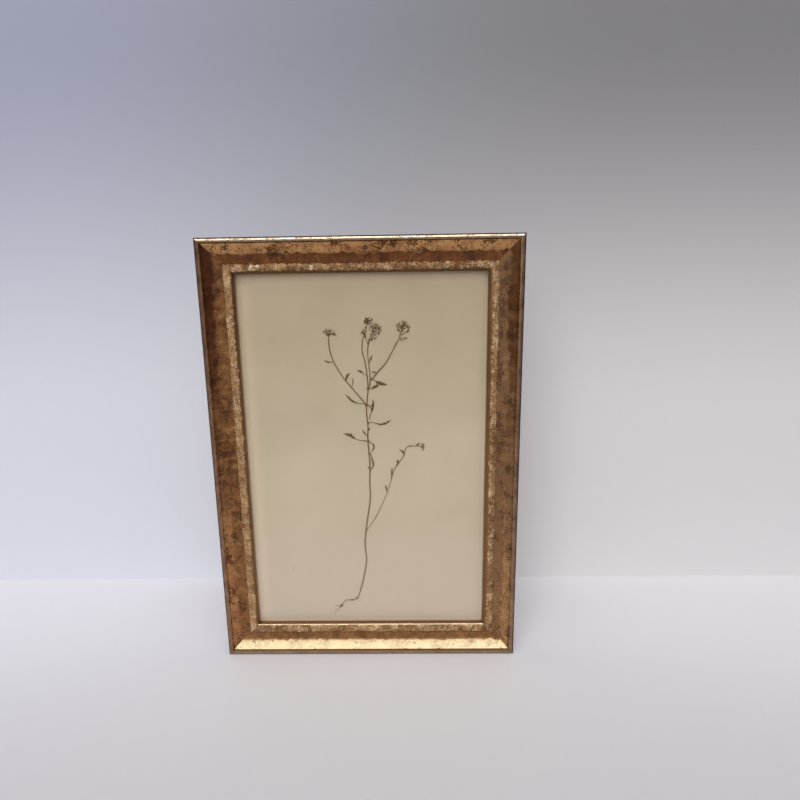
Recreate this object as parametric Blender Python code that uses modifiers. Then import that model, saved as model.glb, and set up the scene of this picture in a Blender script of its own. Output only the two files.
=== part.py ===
"""A pressed flower behind glass, in a wide antique-gold picture moulding.

Four mitred rails hold a pane of glass, the pressed plant, its mount sheet and a
hardboard back, which flat steel tabs keep in the rabbet. A sawtooth hanger is
nailed to the back of the top rail. +Z is up and the glass faces -Y. The origin
is at the middle of the bottom edge, half way through the whole depth.

Two directions are measured from the frame itself. "v" runs inward across a rail
from its outer edge, and "s" runs back from the front of the outer lip.
"""

import math

import bmesh
import bpy
from mathutils import Matrix, Vector

MM = 0.001

# Driving dimensions, in metres.
GLASS_WIDTH = 0.200
GLASS_HEIGHT = 0.300
GLASS_THICKNESS = 0.002
FACE_WIDTH = 0.026            # outer edge to sight edge, seen from the front
SIGHT_LAP = 0.005             # how far the moulding covers the edge of the glass
RABBET_CLEARANCE = 0.001      # between the glass edge and the rabbet wall
MOULDING_DEPTH = 0.018
LEDGE_DEPTH = 0.0088          # lip front to the back of the ledge that the glass meets
TOUCH_GAP = 0.0003            # between pieces that touch

PLANT_THICKNESS = 0.0006
SHEET_THICKNESS = 0.0005
BOARD_THICKNESS = 0.0025

TAB_LENGTH = 0.013
TAB_WIDTH = 0.009
TAB_THICKNESS = 0.0004
TAB_IN_WOOD = 0.0045

HANGER_LENGTH = 0.046
HANGER_HEIGHT = 0.009
HANGER_THICKNESS = 0.0008
HANGER_RISE = 0.0014          # how far the toothed middle stands off the wood
HANGER_TEETH = 9
NAIL_SPACING = 0.038
NAIL_SHANK_RADIUS = 0.0006
NAIL_HEAD_RADIUS = 0.0016
NAIL_HEAD_THICKNESS = 0.0006
NAIL_LENGTH = 0.008

# Worked out from them.
SIGHT_WIDTH = GLASS_WIDTH - 2 * SIGHT_LAP
SIGHT_HEIGHT = GLASS_HEIGHT - 2 * SIGHT_LAP
OUTER_WIDTH = SIGHT_WIDTH + 2 * FACE_WIDTH
OUTER_HEIGHT = SIGHT_HEIGHT + 2 * FACE_WIDTH
RABBET_V = FACE_WIDTH - SIGHT_LAP - RABBET_CLEARANCE
MITRE_SETBACK = TOUCH_GAP / math.sqrt(2)

GLASS_S = LEDGE_DEPTH + TOUCH_GAP
PLANT_S = GLASS_S + GLASS_THICKNESS + TOUCH_GAP
SHEET_S = PLANT_S + PLANT_THICKNESS + TOUCH_GAP
BOARD_S = SHEET_S + SHEET_THICKNESS + TOUCH_GAP
TAB_S = BOARD_S + BOARD_THICKNESS + TOUCH_GAP
HANGER_S = MOULDING_DEPTH + TOUCH_GAP
TOTAL_DEPTH = HANGER_S + HANGER_RISE + HANGER_THICKNESS
FRONT_Y = -TOTAL_DEPTH / 2

# Each side of the frame: the turn about Y that brings a rail standing on the left
# to that side, the middle of its outer edge, its length, and where its tabs sit.
SIDES = {
    "left": (0, (-OUTER_WIDTH / 2, OUTER_HEIGHT / 2), OUTER_HEIGHT, (-0.095, 0.0, 0.095)),
    "right": (180, (OUTER_WIDTH / 2, OUTER_HEIGHT / 2), OUTER_HEIGHT, (-0.095, 0.0, 0.095)),
    "top": (90, (0.0, OUTER_HEIGHT), OUTER_WIDTH, (-0.055, 0.055)),
    "bottom": (-90, (0.0, 0.0), OUTER_WIDTH, (-0.055, 0.055)),
}

# The pressed plant, in millimetres: across from the middle, and up from the bottom edge.
MAIN_STEM = [
    (-31.5, 31.0), (-28.0, 35.6), (-24.6, 39.2), (-22.2, 42.8), (-19.6, 44.4),
    (-15.0, 44.4), (-10.6, 46.6), (-8.4, 52.0), (-6.0, 60.5), (-3.8, 71.0),
    (-2.2, 80.5), (-2.5, 88.0), (-3.0, 97.0), (-1.9, 107.5), (-0.8, 116.0),
    (0.8, 125.5), (2.4, 137.5), (2.3, 150.0), (2.8, 164.0), (2.2, 178.0),
    (1.6, 187.5), (2.1, 197.0), (1.2, 209.0), (2.0, 219.0), (2.9, 229.0),
    (2.1, 240.0), (0.9, 249.0), (-1.0, 257.0), (-0.6, 264.5), (0.2, 267.4),
]
SECOND_STEM = [(4.4, 229.6), (4.7, 236.0), (4.2, 245.0), (3.3, 255.0), (3.7, 260.6), (5.0, 265.2)]
LEFT_BRANCH = [
    (-0.5, 216.9), (-5.0, 222.4), (-10.2, 228.8), (-16.2, 236.4), (-20.6, 243.6),
    (-23.9, 250.2), (-26.2, 258.6), (-26.6, 267.0),
]
RIGHT_BRANCH = [
    (6.7, 235.9), (8.8, 238.2), (11.8, 241.8), (17.4, 248.0), (21.8, 255.6), (25.4, 262.4), (28.0, 266.6),
]
LOW_BRANCH = [
    (0.4, 110.8), (4.6, 116.6), (8.6, 123.8), (12.4, 131.8), (16.2, 141.0),
    (19.8, 151.8), (22.4, 160.4), (25.6, 165.8), (29.4, 171.0), (31.8, 178.0),
    (35.0, 180.5), (39.0, 180.3), (42.4, 180.7),
]

# Each leaf: its midrib, where its base is first, and its greatest width.
LEAVES = {
    "leaf_left_branch_tip": ([(-25.0, 248.8), (-27.4, 248.8), (-30.6, 250.4)], 1.6),
    "leaf_left_branch_upper": ([(-14.0, 235.5), (-13.3, 238.0), (-11.1, 240.0)], 1.7),
    "leaf_left_branch_inner": ([(-9.2, 231.4), (-8.9, 233.6), (-8.7, 236.4)], 0.9),
    "leaf_left_branch_foot": (
        [(0.2, 214.6), (-3.4, 215.2), (-7.6, 216.6), (-11.6, 219.2), (-15.2, 223.4)], 1.9),
    "leaf_main_upper_left": ([(1.0, 239.2), (-1.8, 240.6), (-5.4, 242.2)], 1.4),
    "leaf_second_stem_upper": ([(5.2, 249.2), (5.9, 251.4), (6.8, 253.8)], 1.3),
    "leaf_right_branch_foot": ([(9.3, 240.3), (7.8, 240.5), (6.1, 240.7)], 1.0),
    "leaf_folded_upper": ([(6.4, 234.4), (10.0, 232.8), (13.6, 231.4), (17.9, 230.2)], 2.2),
    "leaf_folded_lower": ([(4.6, 226.8), (7.6, 227.8), (10.2, 229.0), (12.6, 229.6)], 1.8),
    "leaf_curled_foot": ([(2.5, 214.5), (3.4, 214.0), (4.4, 213.0)], 0.7),
    "leaf_curled": ([(3.6, 204.8), (4.9, 208.6), (6.2, 213.4), (6.7, 218.6)], 1.5),
    "leaf_toothed_right": (
        [(3.2, 200.0), (7.0, 199.9), (11.6, 198.6), (16.0, 199.2), (20.8, 202.0)], 1.9),
    "leaf_stub_left": ([(0.6, 189.6), (-0.8, 192.0), (-2.4, 194.0)], 1.1),
    "leaf_stub_right": ([(3.1, 194.0), (3.5, 195.2), (4.0, 196.6)], 0.8),
    "leaf_left_middle": (
        [(0.6, 184.6), (-4.4, 185.4), (-8.8, 187.4), (-13.2, 190.2), (-17.6, 191.4)], 2.5),
    "leaf_twisted_upper": ([(3.1, 184.0), (5.4, 183.0), (6.6, 180.6), (4.4, 175.8)], 1.2),
    "leaf_twisted_lower": ([(3.8, 174.8), (5.2, 169.6), (5.8, 165.4), (4.2, 160.6)], 1.3),
    "leaf_low_branch_first": ([(15.6, 143.0), (15.6, 145.2), (14.9, 147.6)], 1.4),
    "leaf_low_branch_second": ([(19.8, 154.6), (20.2, 158.2), (20.6, 162.4)], 1.2),
    "leaf_low_branch_third": ([(24.2, 165.9), (24.9, 167.4), (25.3, 169.2)], 1.4),
    "leaf_low_branch_curved": ([(29.5, 173.4), (28.8, 175.6), (26.6, 177.4)], 1.1),
}

# Each flower head: its middle, its half width and half height, and its lobes.
FLOWER_HEADS = {
    "flower_head_left": ((-26.0, 271.9), (4.6, 3.6), 7),
    "flower_head_centre_side": ((0.9, 271.2), (2.4, 3.0), 5),
    "flower_head_centre_crown": ((4.2, 280.1), (3.3, 3.2), 6),
    "flower_head_centre": ((9.4, 271.4), (5.3, 6.6), 9),
    "flower_head_right": ((31.2, 273.6), (5.8, 6.2), 9),
    "flower_head_low": ((45.4, 179.8), (2.0, 2.7), 5),
}

CUTTER_OVERRUN = 0.001


def fresh_collections():
    """Clear the scene and add one collection for the pieces and one for the cutters."""
    for old in list(bpy.data.objects):
        bpy.data.objects.remove(old, do_unlink=True)
    pieces = bpy.data.collections.new("pressed_flower_frame")
    cutters = bpy.data.collections.new("cutters")
    for group in (pieces, cutters):
        bpy.context.scene.collection.children.link(group)
    return pieces, cutters


def finish_material(name, colour, roughness, metallic=0.0, alpha=1.0):
    """Return a Principled material of one colour."""
    material = bpy.data.materials.new(name)
    material.use_nodes = True
    shader = material.node_tree.nodes["Principled BSDF"]
    shader.inputs["Base Color"].default_value = (*colour, 1.0)
    shader.inputs["Roughness"].default_value = roughness
    shader.inputs["Metallic"].default_value = metallic
    shader.inputs["Alpha"].default_value = alpha
    return material


def add_object(name, data, group, material=None):
    """Link a new object to a collection, with its material."""
    thing = bpy.data.objects.new(name, data)
    group.objects.link(thing)
    if material:
        data.materials.append(material)
    return thing


def side_matrix(side):
    """Return the matrix that takes (v, s, along the rail) to its place in the frame."""
    turn, (x, z), _, _ = SIDES[side]
    place = Matrix.Translation((x, FRONT_Y, z))
    return place @ Matrix.Rotation(math.radians(turn), 4, "Y")


def flat_curve(name, outline, thickness, group):
    """Return a curve object: a closed outline in its own XY plane, filled and extruded."""
    data = bpy.data.curves.new(name, "CURVE")
    data.dimensions = "2D"
    data.fill_mode = "BOTH"
    data.extrude = thickness / 2
    spline = data.splines.new("POLY")
    spline.points.add(len(outline) - 1)
    for point, (x, y) in zip(spline.points, outline):
        point.co = (x, y, 0.0, 1.0)
    spline.use_cyclic_u = True
    return add_object(name, data, group)


def as_mesh_object(curve_object, group, material=None):
    """Swap a curve object for a mesh object of the same name, with its caps welded on."""
    graph = bpy.context.evaluated_depsgraph_get()
    mesh = bpy.data.meshes.new_from_object(curve_object.evaluated_get(graph))
    work = bmesh.new()
    work.from_mesh(mesh)
    bmesh.ops.remove_doubles(work, verts=work.verts, dist=1e-6)
    bmesh.ops.recalc_face_normals(work, faces=work.faces)
    work.to_mesh(mesh)
    work.free()
    name = curve_object.name
    place = curve_object.matrix_world.copy()
    bpy.data.objects.remove(curve_object, do_unlink=True)
    mesh.name = name
    thing = add_object(name, mesh, group, material)
    thing.matrix_world = place
    return thing


def cut(piece, cutter):
    """Subtract a hidden cutter from a piece."""
    cutter.hide_render = True
    cutter.display_type = "WIRE"
    boolean = piece.modifiers.new(cutter.name, "BOOLEAN")
    boolean.operation = "DIFFERENCE"
    boolean.solver = "EXACT"
    boolean.object = cutter


def box(name, size, group, material=None):
    """Return a box centred on its own origin."""
    work = bmesh.new()
    bmesh.ops.create_cube(work, size=1.0)
    bmesh.ops.scale(work, vec=size, verts=work.verts)
    mesh = bpy.data.meshes.new(name)
    work.to_mesh(mesh)
    work.free()
    return add_object(name, mesh, group, material)


def rod(name, radius, length, group, segments=16):
    """Return a round rod along its own Z, centred on its origin."""
    work = bmesh.new()
    bmesh.ops.create_cone(work, cap_ends=True, segments=segments,
                          radius1=radius, radius2=radius, depth=length)
    mesh = bpy.data.meshes.new(name)
    work.to_mesh(mesh)
    work.free()
    return add_object(name, mesh, group)


# ---- the moulding ----

def moulding_outline():
    """Return the rail's cross-section as (v, s) points, from the back round the front."""
    lip_radius = 2.2
    lip_end = 10                     # degrees above level where the lip meets its quirk
    lip_steps = 10
    scoop_start, scoop_bottom, scoop_end = 4.7, 11.5, 18.0
    scoop_depth = 4.9
    steep_radius, shallow_radius = 9.4, 30.0
    scoop_steps = 7
    bead_start, bead_end = 18.3, 25.8
    bead_crown_v, bead_crown_s, bead_radius = 21.8, 3.4, 6.2
    bead_steps = 9

    points = [(0.0, MOULDING_DEPTH / MM)]
    for step in range(lip_steps + 1):
        angle = math.radians(180 - (180 - lip_end) * step / lip_steps)
        points.append((lip_radius * (1 + math.cos(angle)), lip_radius * (1 - math.sin(angle))))
    for start, end, radius in ((scoop_start, scoop_bottom, steep_radius),
                               (scoop_bottom, scoop_end, shallow_radius)):
        for step in range(scoop_steps + 1):
            v = start + (end - start) * step / scoop_steps
            sag = math.sqrt(radius ** 2 - (v - scoop_bottom) ** 2)
            points.append((v, scoop_depth - radius + sag))
        if end == scoop_bottom:
            points.pop()
    for step in range(bead_steps + 1):
        v = bead_start + (bead_end - bead_start) * step / bead_steps
        rise = math.sqrt(bead_radius ** 2 - (v - bead_crown_v) ** 2)
        points.append((v, bead_crown_s + bead_radius - rise))
    sight_v = FACE_WIDTH / MM
    points.append((sight_v, points[-1][1] + 0.4))
    points.append((sight_v, LEDGE_DEPTH / MM))
    points.append((RABBET_V / MM, LEDGE_DEPTH / MM))
    points.append((RABBET_V / MM, MOULDING_DEPTH / MM))
    return [(v * MM, s * MM) for v, s in points]


def make_rail(side, pieces, cutters, material):
    """Make one mitred rail, with a slot for each of its retaining tabs."""
    _, _, length, tab_places = SIDES[side]
    name = "rail_" + side
    blank = flat_curve(name, moulding_outline(), length, cutters)
    blank.data.twist_mode = "MINIMUM"
    bpy.context.view_layer.update()
    rail = as_mesh_object(blank, pieces, material)
    for vertex in rail.data.vertices:
        end = math.copysign(1.0, vertex.co.z)
        vertex.co.z -= end * (vertex.co.x + MITRE_SETBACK)
    rail.matrix_world = side_matrix(side)

    depth = TAB_IN_WOOD + TOUCH_GAP + CUTTER_OVERRUN
    slot_size = (depth, TAB_THICKNESS + 2 * TOUCH_GAP, TAB_WIDTH + 2 * TOUCH_GAP)
    for number, along in enumerate(tab_places, 1):
        slot = box(f"tab_slot_{side}_{number}", slot_size, cutters)
        middle_v = RABBET_V + CUTTER_OVERRUN - depth / 2
        middle = Vector((middle_v, TAB_S + TAB_THICKNESS / 2, along))
        slot.matrix_world = side_matrix(side) @ Matrix.Translation(middle)
        cut(rail, slot)
    return rail


# ---- what the rails hold ----

def panel(name, width, height, thickness, front_s, group, material):
    """Make a flat sheet that fills the rabbet, with its front face at front_s."""
    sheet = box(name, (width, thickness, height), group, material)
    sheet.location = (0.0, FRONT_Y + front_s + thickness / 2, OUTER_HEIGHT / 2)
    return sheet


def make_retaining_tabs(group, material):
    """Make the flat steel tabs: one end in the wood, a round end over the backing board."""
    half = TAB_WIDTH / 2
    straight = TAB_LENGTH - half
    outline = [(0.0, -half)]
    for step in range(9):
        angle = math.radians(-90 + 180 * step / 8)
        outline.append((straight + half * math.cos(angle), half * math.sin(angle)))
    outline.append((0.0, half))
    for side, (_, _, _, places) in SIDES.items():
        for number, along in enumerate(places, 1):
            tab = flat_curve(f"tab_{side}_{number}", outline, TAB_THICKNESS, group)
            tab.data.materials.append(material)
            root = Vector((RABBET_V - TAB_IN_WOOD, TAB_S + TAB_THICKNESS / 2, along))
            lie_flat = Matrix.Rotation(math.radians(90), 4, "X")
            tab.matrix_world = side_matrix(side) @ Matrix.Translation(root) @ lie_flat


def hanger_strip_outline():
    """Return the hanger's edge view: flat feet at both ends and a raised middle."""
    foot = 0.0075
    ramp = 0.003
    half = HANGER_LENGTH / 2
    front = [(-half, 0.0), (-half + foot, 0.0), (-half + foot + ramp, HANGER_RISE)]
    front += [(-along, s) for along, s in reversed(front)]
    back = [(along, s + HANGER_THICKNESS) for along, s in reversed(front)]
    return front + back


def make_hanger(pieces, cutters, rail, material, nail_material):
    """Make the sawtooth hanger and its nails, and drill the top rail for them."""
    middle_v = RABBET_V / 2
    to_rail = side_matrix("top")

    strip = flat_curve("hanger_plate", hanger_strip_outline(), HANGER_HEIGHT, cutters)
    stand_across = Matrix(((0, 0, 1, 0), (0, 1, 0, 0), (1, 0, 0, 0), (0, 0, 0, 1)))
    stand_across = stand_across @ Matrix.Diagonal((1, 1, -1, 1))
    strip.matrix_world = to_rail @ Matrix.Translation((middle_v, HANGER_S, 0.0)) @ stand_across
    bpy.context.view_layer.update()
    plate = as_mesh_object(strip, pieces, material)

    tooth_pitch = 0.0026
    tooth_height = 0.0014
    row = HANGER_TEETH * tooth_pitch
    zigzag = [(CUTTER_OVERRUN * 2, -row / 2), (0.0, -row / 2)]
    for tooth in range(HANGER_TEETH):
        start = -row / 2 + tooth * tooth_pitch
        zigzag.append((-tooth_height, start + tooth_pitch / 2))
        zigzag.append((0.0, start + tooth_pitch))
    zigzag.append((CUTTER_OVERRUN * 2, row / 2))
    comb = flat_curve("hanger_teeth", zigzag, 0.006, cutters)
    lie_flat = Matrix.Rotation(math.radians(90), 4, "X")
    edge = Vector((middle_v + HANGER_HEIGHT / 2, HANGER_S + HANGER_RISE, 0.0))
    comb.matrix_world = to_rail @ Matrix.Translation(edge) @ lie_flat
    bpy.context.view_layer.update()
    cut(plate, as_mesh_object(comb, cutters))

    for number, end in enumerate((-1, 1), 1):
        along = end * NAIL_SPACING / 2
        drill_length = NAIL_LENGTH + HANGER_THICKNESS + 2 * CUTTER_OVERRUN
        drill = rod(f"nail_hole_{number}", NAIL_SHANK_RADIUS + TOUCH_GAP, drill_length, cutters)
        deep_end = MOULDING_DEPTH - NAIL_LENGTH - TOUCH_GAP
        middle = Vector((middle_v, deep_end + drill_length / 2, along))
        upright = Matrix.Rotation(math.radians(-90), 4, "X")
        drill.matrix_world = to_rail @ Matrix.Translation(middle) @ upright
        cut(rail, drill)
        cut(plate, drill)

        nail = turned_nail(f"hanger_nail_{number}", pieces, nail_material)
        head_seat = Vector((middle_v, HANGER_S + HANGER_THICKNESS + TOUCH_GAP, along))
        nail.matrix_world = to_rail @ Matrix.Translation(head_seat) @ upright


def turned_nail(name, group, material):
    """Turn a flat-headed nail about its own Z; the underside of the head is at z = 0."""
    tip = -NAIL_LENGTH - HANGER_THICKNESS - TOUCH_GAP
    profile = [
        (0.0, NAIL_HEAD_THICKNESS),
        (NAIL_HEAD_RADIUS * 0.8, NAIL_HEAD_THICKNESS),
        (NAIL_HEAD_RADIUS, NAIL_HEAD_THICKNESS * 0.6),
        (NAIL_HEAD_RADIUS, 0.0),
        (NAIL_SHANK_RADIUS, 0.0),
        (NAIL_SHANK_RADIUS, tip + 2 * NAIL_SHANK_RADIUS),
        (0.0, tip),
    ]
    mesh = bpy.data.meshes.new(name)
    links = [(i, i + 1) for i in range(len(profile) - 1)]
    mesh.from_pydata([(r, 0.0, z) for r, z in profile], links, [])
    nail = add_object(name, mesh, group, material)
    screw = nail.modifiers.new("turn", "SCREW")
    screw.steps = 16
    screw.render_steps = 16
    screw.use_merge_vertices = True
    screw.merge_threshold = 1e-5
    return nail


# ---- the pressed plant ----

def smooth_route(points, spacing):
    """Return points along a Catmull-Rom curve through the given ones, about spacing apart."""
    ends = [tuple(2 * a - b for a, b in zip(points[0], points[1]))]
    tail = [tuple(2 * a - b for a, b in zip(points[-1], points[-2]))]
    chain = [Vector(p) for p in ends + list(points) + tail]
    route = []
    for before, start, end, after in zip(chain, chain[1:], chain[2:], chain[3:]):
        steps = max(1, round((end - start).length / spacing))
        for step in range(steps):
            t = step / steps
            route.append(0.5 * (2 * start + (end - before) * t
                                + (2 * before - 5 * start + 4 * end - after) * t ** 2
                                + (3 * start - before - 3 * end + after) * t ** 3))
    route.append(chain[-2])
    return route


def pressed_strip(name, points, half_widths, thickness, group, material):
    """Make a flattened tube in the plant's layer; thickness is at its widest place."""
    data = bpy.data.curves.new(name, "CURVE")
    data.dimensions = "3D"
    data.bevel_depth = MM
    data.bevel_resolution = 2
    data.use_fill_caps = True
    data.materials.append(material)
    spline = data.splines.new("POLY")
    spline.points.add(len(points) - 1)
    for point, (x, z), half in zip(spline.points, points, half_widths):
        point.co = (x * MM, 0.0, z * MM, 1.0)
        point.radius = half
    strip = bpy.data.objects.new(name, data)
    group.objects.link(strip)
    strip.location.y = FRONT_Y + PLANT_S + PLANT_THICKNESS / 2
    strip.scale.y = thickness / (2 * max(half_widths) * MM)
    return strip


def make_stem(name, points, base_width, tip_width, group, material):
    """Make a stem that thins from its base to its tip."""
    route = smooth_route(points, 5.0)
    last = len(route) - 1
    halves = [(base_width + (tip_width - base_width) * i / last) / 2 for i in range(last + 1)]
    return pressed_strip(name, route, halves, PLANT_THICKNESS, group, material)


def make_main_stem(group, material):
    """Make the main stem: a fine root tip, the thick lower stem, and a thinner top."""
    route = smooth_route(MAIN_STEM, 5.0)
    root_z, thick_z = 33.0, 60.0
    top_z = MAIN_STEM[-1][1]
    halves = []
    for point in route:
        rooted = min(1.0, max(0.0, (point.y - root_z) / (thick_z - root_z)))
        fallen = max(0.0, (point.y - thick_z) / (top_z - thick_z))
        halves.append(0.2 + 0.5 * rooted - 0.28 * fallen)
    return pressed_strip("main_stem", route, halves, PLANT_THICKNESS, group, material)


def make_leaf(name, midrib, width, group, material):
    """Make a narrow leaf, widest a little past its middle, with a pointed tip."""
    route = smooth_route(midrib, 2.0)
    last = len(route) - 1
    slimmest = 0.14
    halves = []
    for i in range(last + 1):
        swell = math.sin(math.pi * (i / last) ** 1.2)
        halves.append(max(slimmest, width / 2 * swell ** 0.7 if swell > 0 else 0.0))
    return pressed_strip(name, route, halves, PLANT_THICKNESS * 0.8, group, material)


def make_flower_head(name, middle, half_sizes, lobes, group, material):
    """Make the flat lobed solid that stands for one pressed cluster of flowers."""
    outline = []
    points = 4 * lobes
    for i in range(points):
        angle = 2 * math.pi * i / points
        reach = 0.9 + 0.1 * math.cos(lobes * angle)
        outline.append((half_sizes[0] * MM * reach * math.cos(angle),
                        half_sizes[1] * MM * reach * math.sin(angle)))
    head = flat_curve(name, outline, PLANT_THICKNESS, group)
    head.data.materials.append(material)
    head.rotation_euler.x = math.radians(90)
    head.location = (middle[0] * MM, FRONT_Y + PLANT_S + PLANT_THICKNESS / 2, middle[1] * MM)
    return head


def make_plant(group, stem_material, leaf_material, flower_material):
    """Make every piece of the pressed plant."""
    make_main_stem(group, stem_material)
    make_stem("second_stem", SECOND_STEM, 1.0, 0.7, group, stem_material)
    make_stem("left_branch", LEFT_BRANCH, 1.0, 0.8, group, stem_material)
    make_stem("right_branch", RIGHT_BRANCH, 1.1, 0.8, group, stem_material)
    make_stem("low_branch", LOW_BRANCH, 0.9, 0.6, group, stem_material)
    for name, (midrib, width) in LEAVES.items():
        make_leaf(name, midrib, width, group, leaf_material)
    for name, (middle, half_sizes, lobes) in FLOWER_HEADS.items():
        make_flower_head(name, middle, half_sizes, lobes, group, flower_material)


def build():
    """Make the whole framed flower."""
    pieces, cutters = fresh_collections()
    gilding = finish_material("antique_gold", (0.45, 0.27, 0.12), 0.4, metallic=0.6)
    clear_glass = finish_material("clear_glass", (0.92, 0.96, 0.94), 0.03, alpha=0.15)
    paper = finish_material("mount_paper", (0.55, 0.47, 0.36), 0.9)
    hardboard = finish_material("hardboard", (0.22, 0.12, 0.06), 0.75)
    steel = finish_material("zinc_steel", (0.62, 0.62, 0.60), 0.35, metallic=1.0)
    brass = finish_material("brassed_steel", (0.72, 0.55, 0.27), 0.35, metallic=1.0)
    stem_brown = finish_material("dried_stem", (0.17, 0.10, 0.06), 0.8)
    leaf_olive = finish_material("dried_leaf", (0.13, 0.10, 0.05), 0.8)
    petal_brown = finish_material("dried_petal", (0.25, 0.18, 0.11), 0.8)

    rails = {side: make_rail(side, pieces, cutters, gilding) for side in SIDES}
    panel("glass_pane", GLASS_WIDTH, GLASS_HEIGHT, GLASS_THICKNESS, GLASS_S, pieces, clear_glass)
    panel("mount_sheet", GLASS_WIDTH, GLASS_HEIGHT, SHEET_THICKNESS, SHEET_S, pieces, paper)
    panel("backing_board", GLASS_WIDTH, GLASS_HEIGHT, BOARD_THICKNESS, BOARD_S, pieces, hardboard)
    make_retaining_tabs(pieces, steel)
    make_hanger(pieces, cutters, rails["top"], brass, steel)
    make_plant(pieces, stem_brown, leaf_olive, petal_brown)


build()
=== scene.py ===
"""Looks of a pressed flower behind glass, in a wide antique-gold picture moulding.

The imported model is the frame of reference: +Z up, the glass facing -Y, the origin at
the middle of the bottom edge. Two directions are measured from the moulding itself:
"v" runs inward across a rail from its outer edge, and "s" runs back from the front of
the outer lip. Lengths in the tables are in millimetres.
"""

import math
import random

import bmesh
import bpy
from mathutils import Matrix, Vector, noise


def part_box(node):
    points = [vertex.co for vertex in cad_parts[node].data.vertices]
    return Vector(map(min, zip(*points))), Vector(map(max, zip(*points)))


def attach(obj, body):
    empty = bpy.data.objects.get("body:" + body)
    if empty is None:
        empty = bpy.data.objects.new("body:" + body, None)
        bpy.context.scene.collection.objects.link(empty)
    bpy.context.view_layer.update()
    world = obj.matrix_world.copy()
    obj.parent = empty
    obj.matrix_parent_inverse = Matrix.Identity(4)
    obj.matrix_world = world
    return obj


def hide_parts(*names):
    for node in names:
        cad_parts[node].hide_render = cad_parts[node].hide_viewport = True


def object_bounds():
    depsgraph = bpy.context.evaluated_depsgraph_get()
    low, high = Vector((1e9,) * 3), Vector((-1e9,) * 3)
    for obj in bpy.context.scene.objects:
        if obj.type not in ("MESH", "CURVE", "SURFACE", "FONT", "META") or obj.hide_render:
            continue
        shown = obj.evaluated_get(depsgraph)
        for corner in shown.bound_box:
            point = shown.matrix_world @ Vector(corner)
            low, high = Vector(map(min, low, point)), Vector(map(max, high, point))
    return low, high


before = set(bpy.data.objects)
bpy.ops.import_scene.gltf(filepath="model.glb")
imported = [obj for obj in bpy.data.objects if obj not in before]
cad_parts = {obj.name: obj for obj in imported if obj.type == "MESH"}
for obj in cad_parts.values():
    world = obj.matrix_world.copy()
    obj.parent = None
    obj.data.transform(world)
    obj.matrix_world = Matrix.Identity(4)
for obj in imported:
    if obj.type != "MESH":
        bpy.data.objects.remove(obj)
CAD_LOW, CAD_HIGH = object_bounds()

MM = 0.001

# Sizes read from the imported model.
OUTER_WIDTH = CAD_HIGH.x - CAD_LOW.x
OUTER_HEIGHT = CAD_HIGH.z - CAD_LOW.z
FRONT_Y = CAD_LOW.y
RAIL_LOW, RAIL_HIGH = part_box("rail_left")
FACE_WIDTH = (RAIL_HIGH.x - RAIL_LOW.x) / MM
RAIL_DEPTH = (RAIL_HIGH.y - RAIL_LOW.y) / MM
SHEET_FRONT_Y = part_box("mount_sheet")[0].y
STEM_LOW, STEM_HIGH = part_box("main_stem")
PLANT_Y = (STEM_LOW.y + STEM_HIGH.y) / 2

# The camera: where it is, a point that it looks at, its lens and its tilt.
CAMERA_PLACE = Vector((0.0341, FRONT_Y - 0.3816, 0.2951))
CAMERA_TARGET = Vector((0.02788, 0.0, 0.2183))
CAMERA_LENS = 22.84
CAMERA_ROLL = -0.81

# Each side of the frame: the turn about Y that brings a rail standing on the left to
# that side, the middle of its outer edge, and its length.
SIDES = {
    "left": (0, (-OUTER_WIDTH / 2, OUTER_HEIGHT / 2), OUTER_HEIGHT),
    "right": (180, (OUTER_WIDTH / 2, OUTER_HEIGHT / 2), OUTER_HEIGHT),
    "top": (90, (0.0, OUTER_HEIGHT), OUTER_WIDTH),
    "bottom": (-90, (0.0, 0.0), OUTER_WIDTH),
}

# Where the lip meets the scoop, as v in millimetres.
QUIRK_V = 4.1

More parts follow.
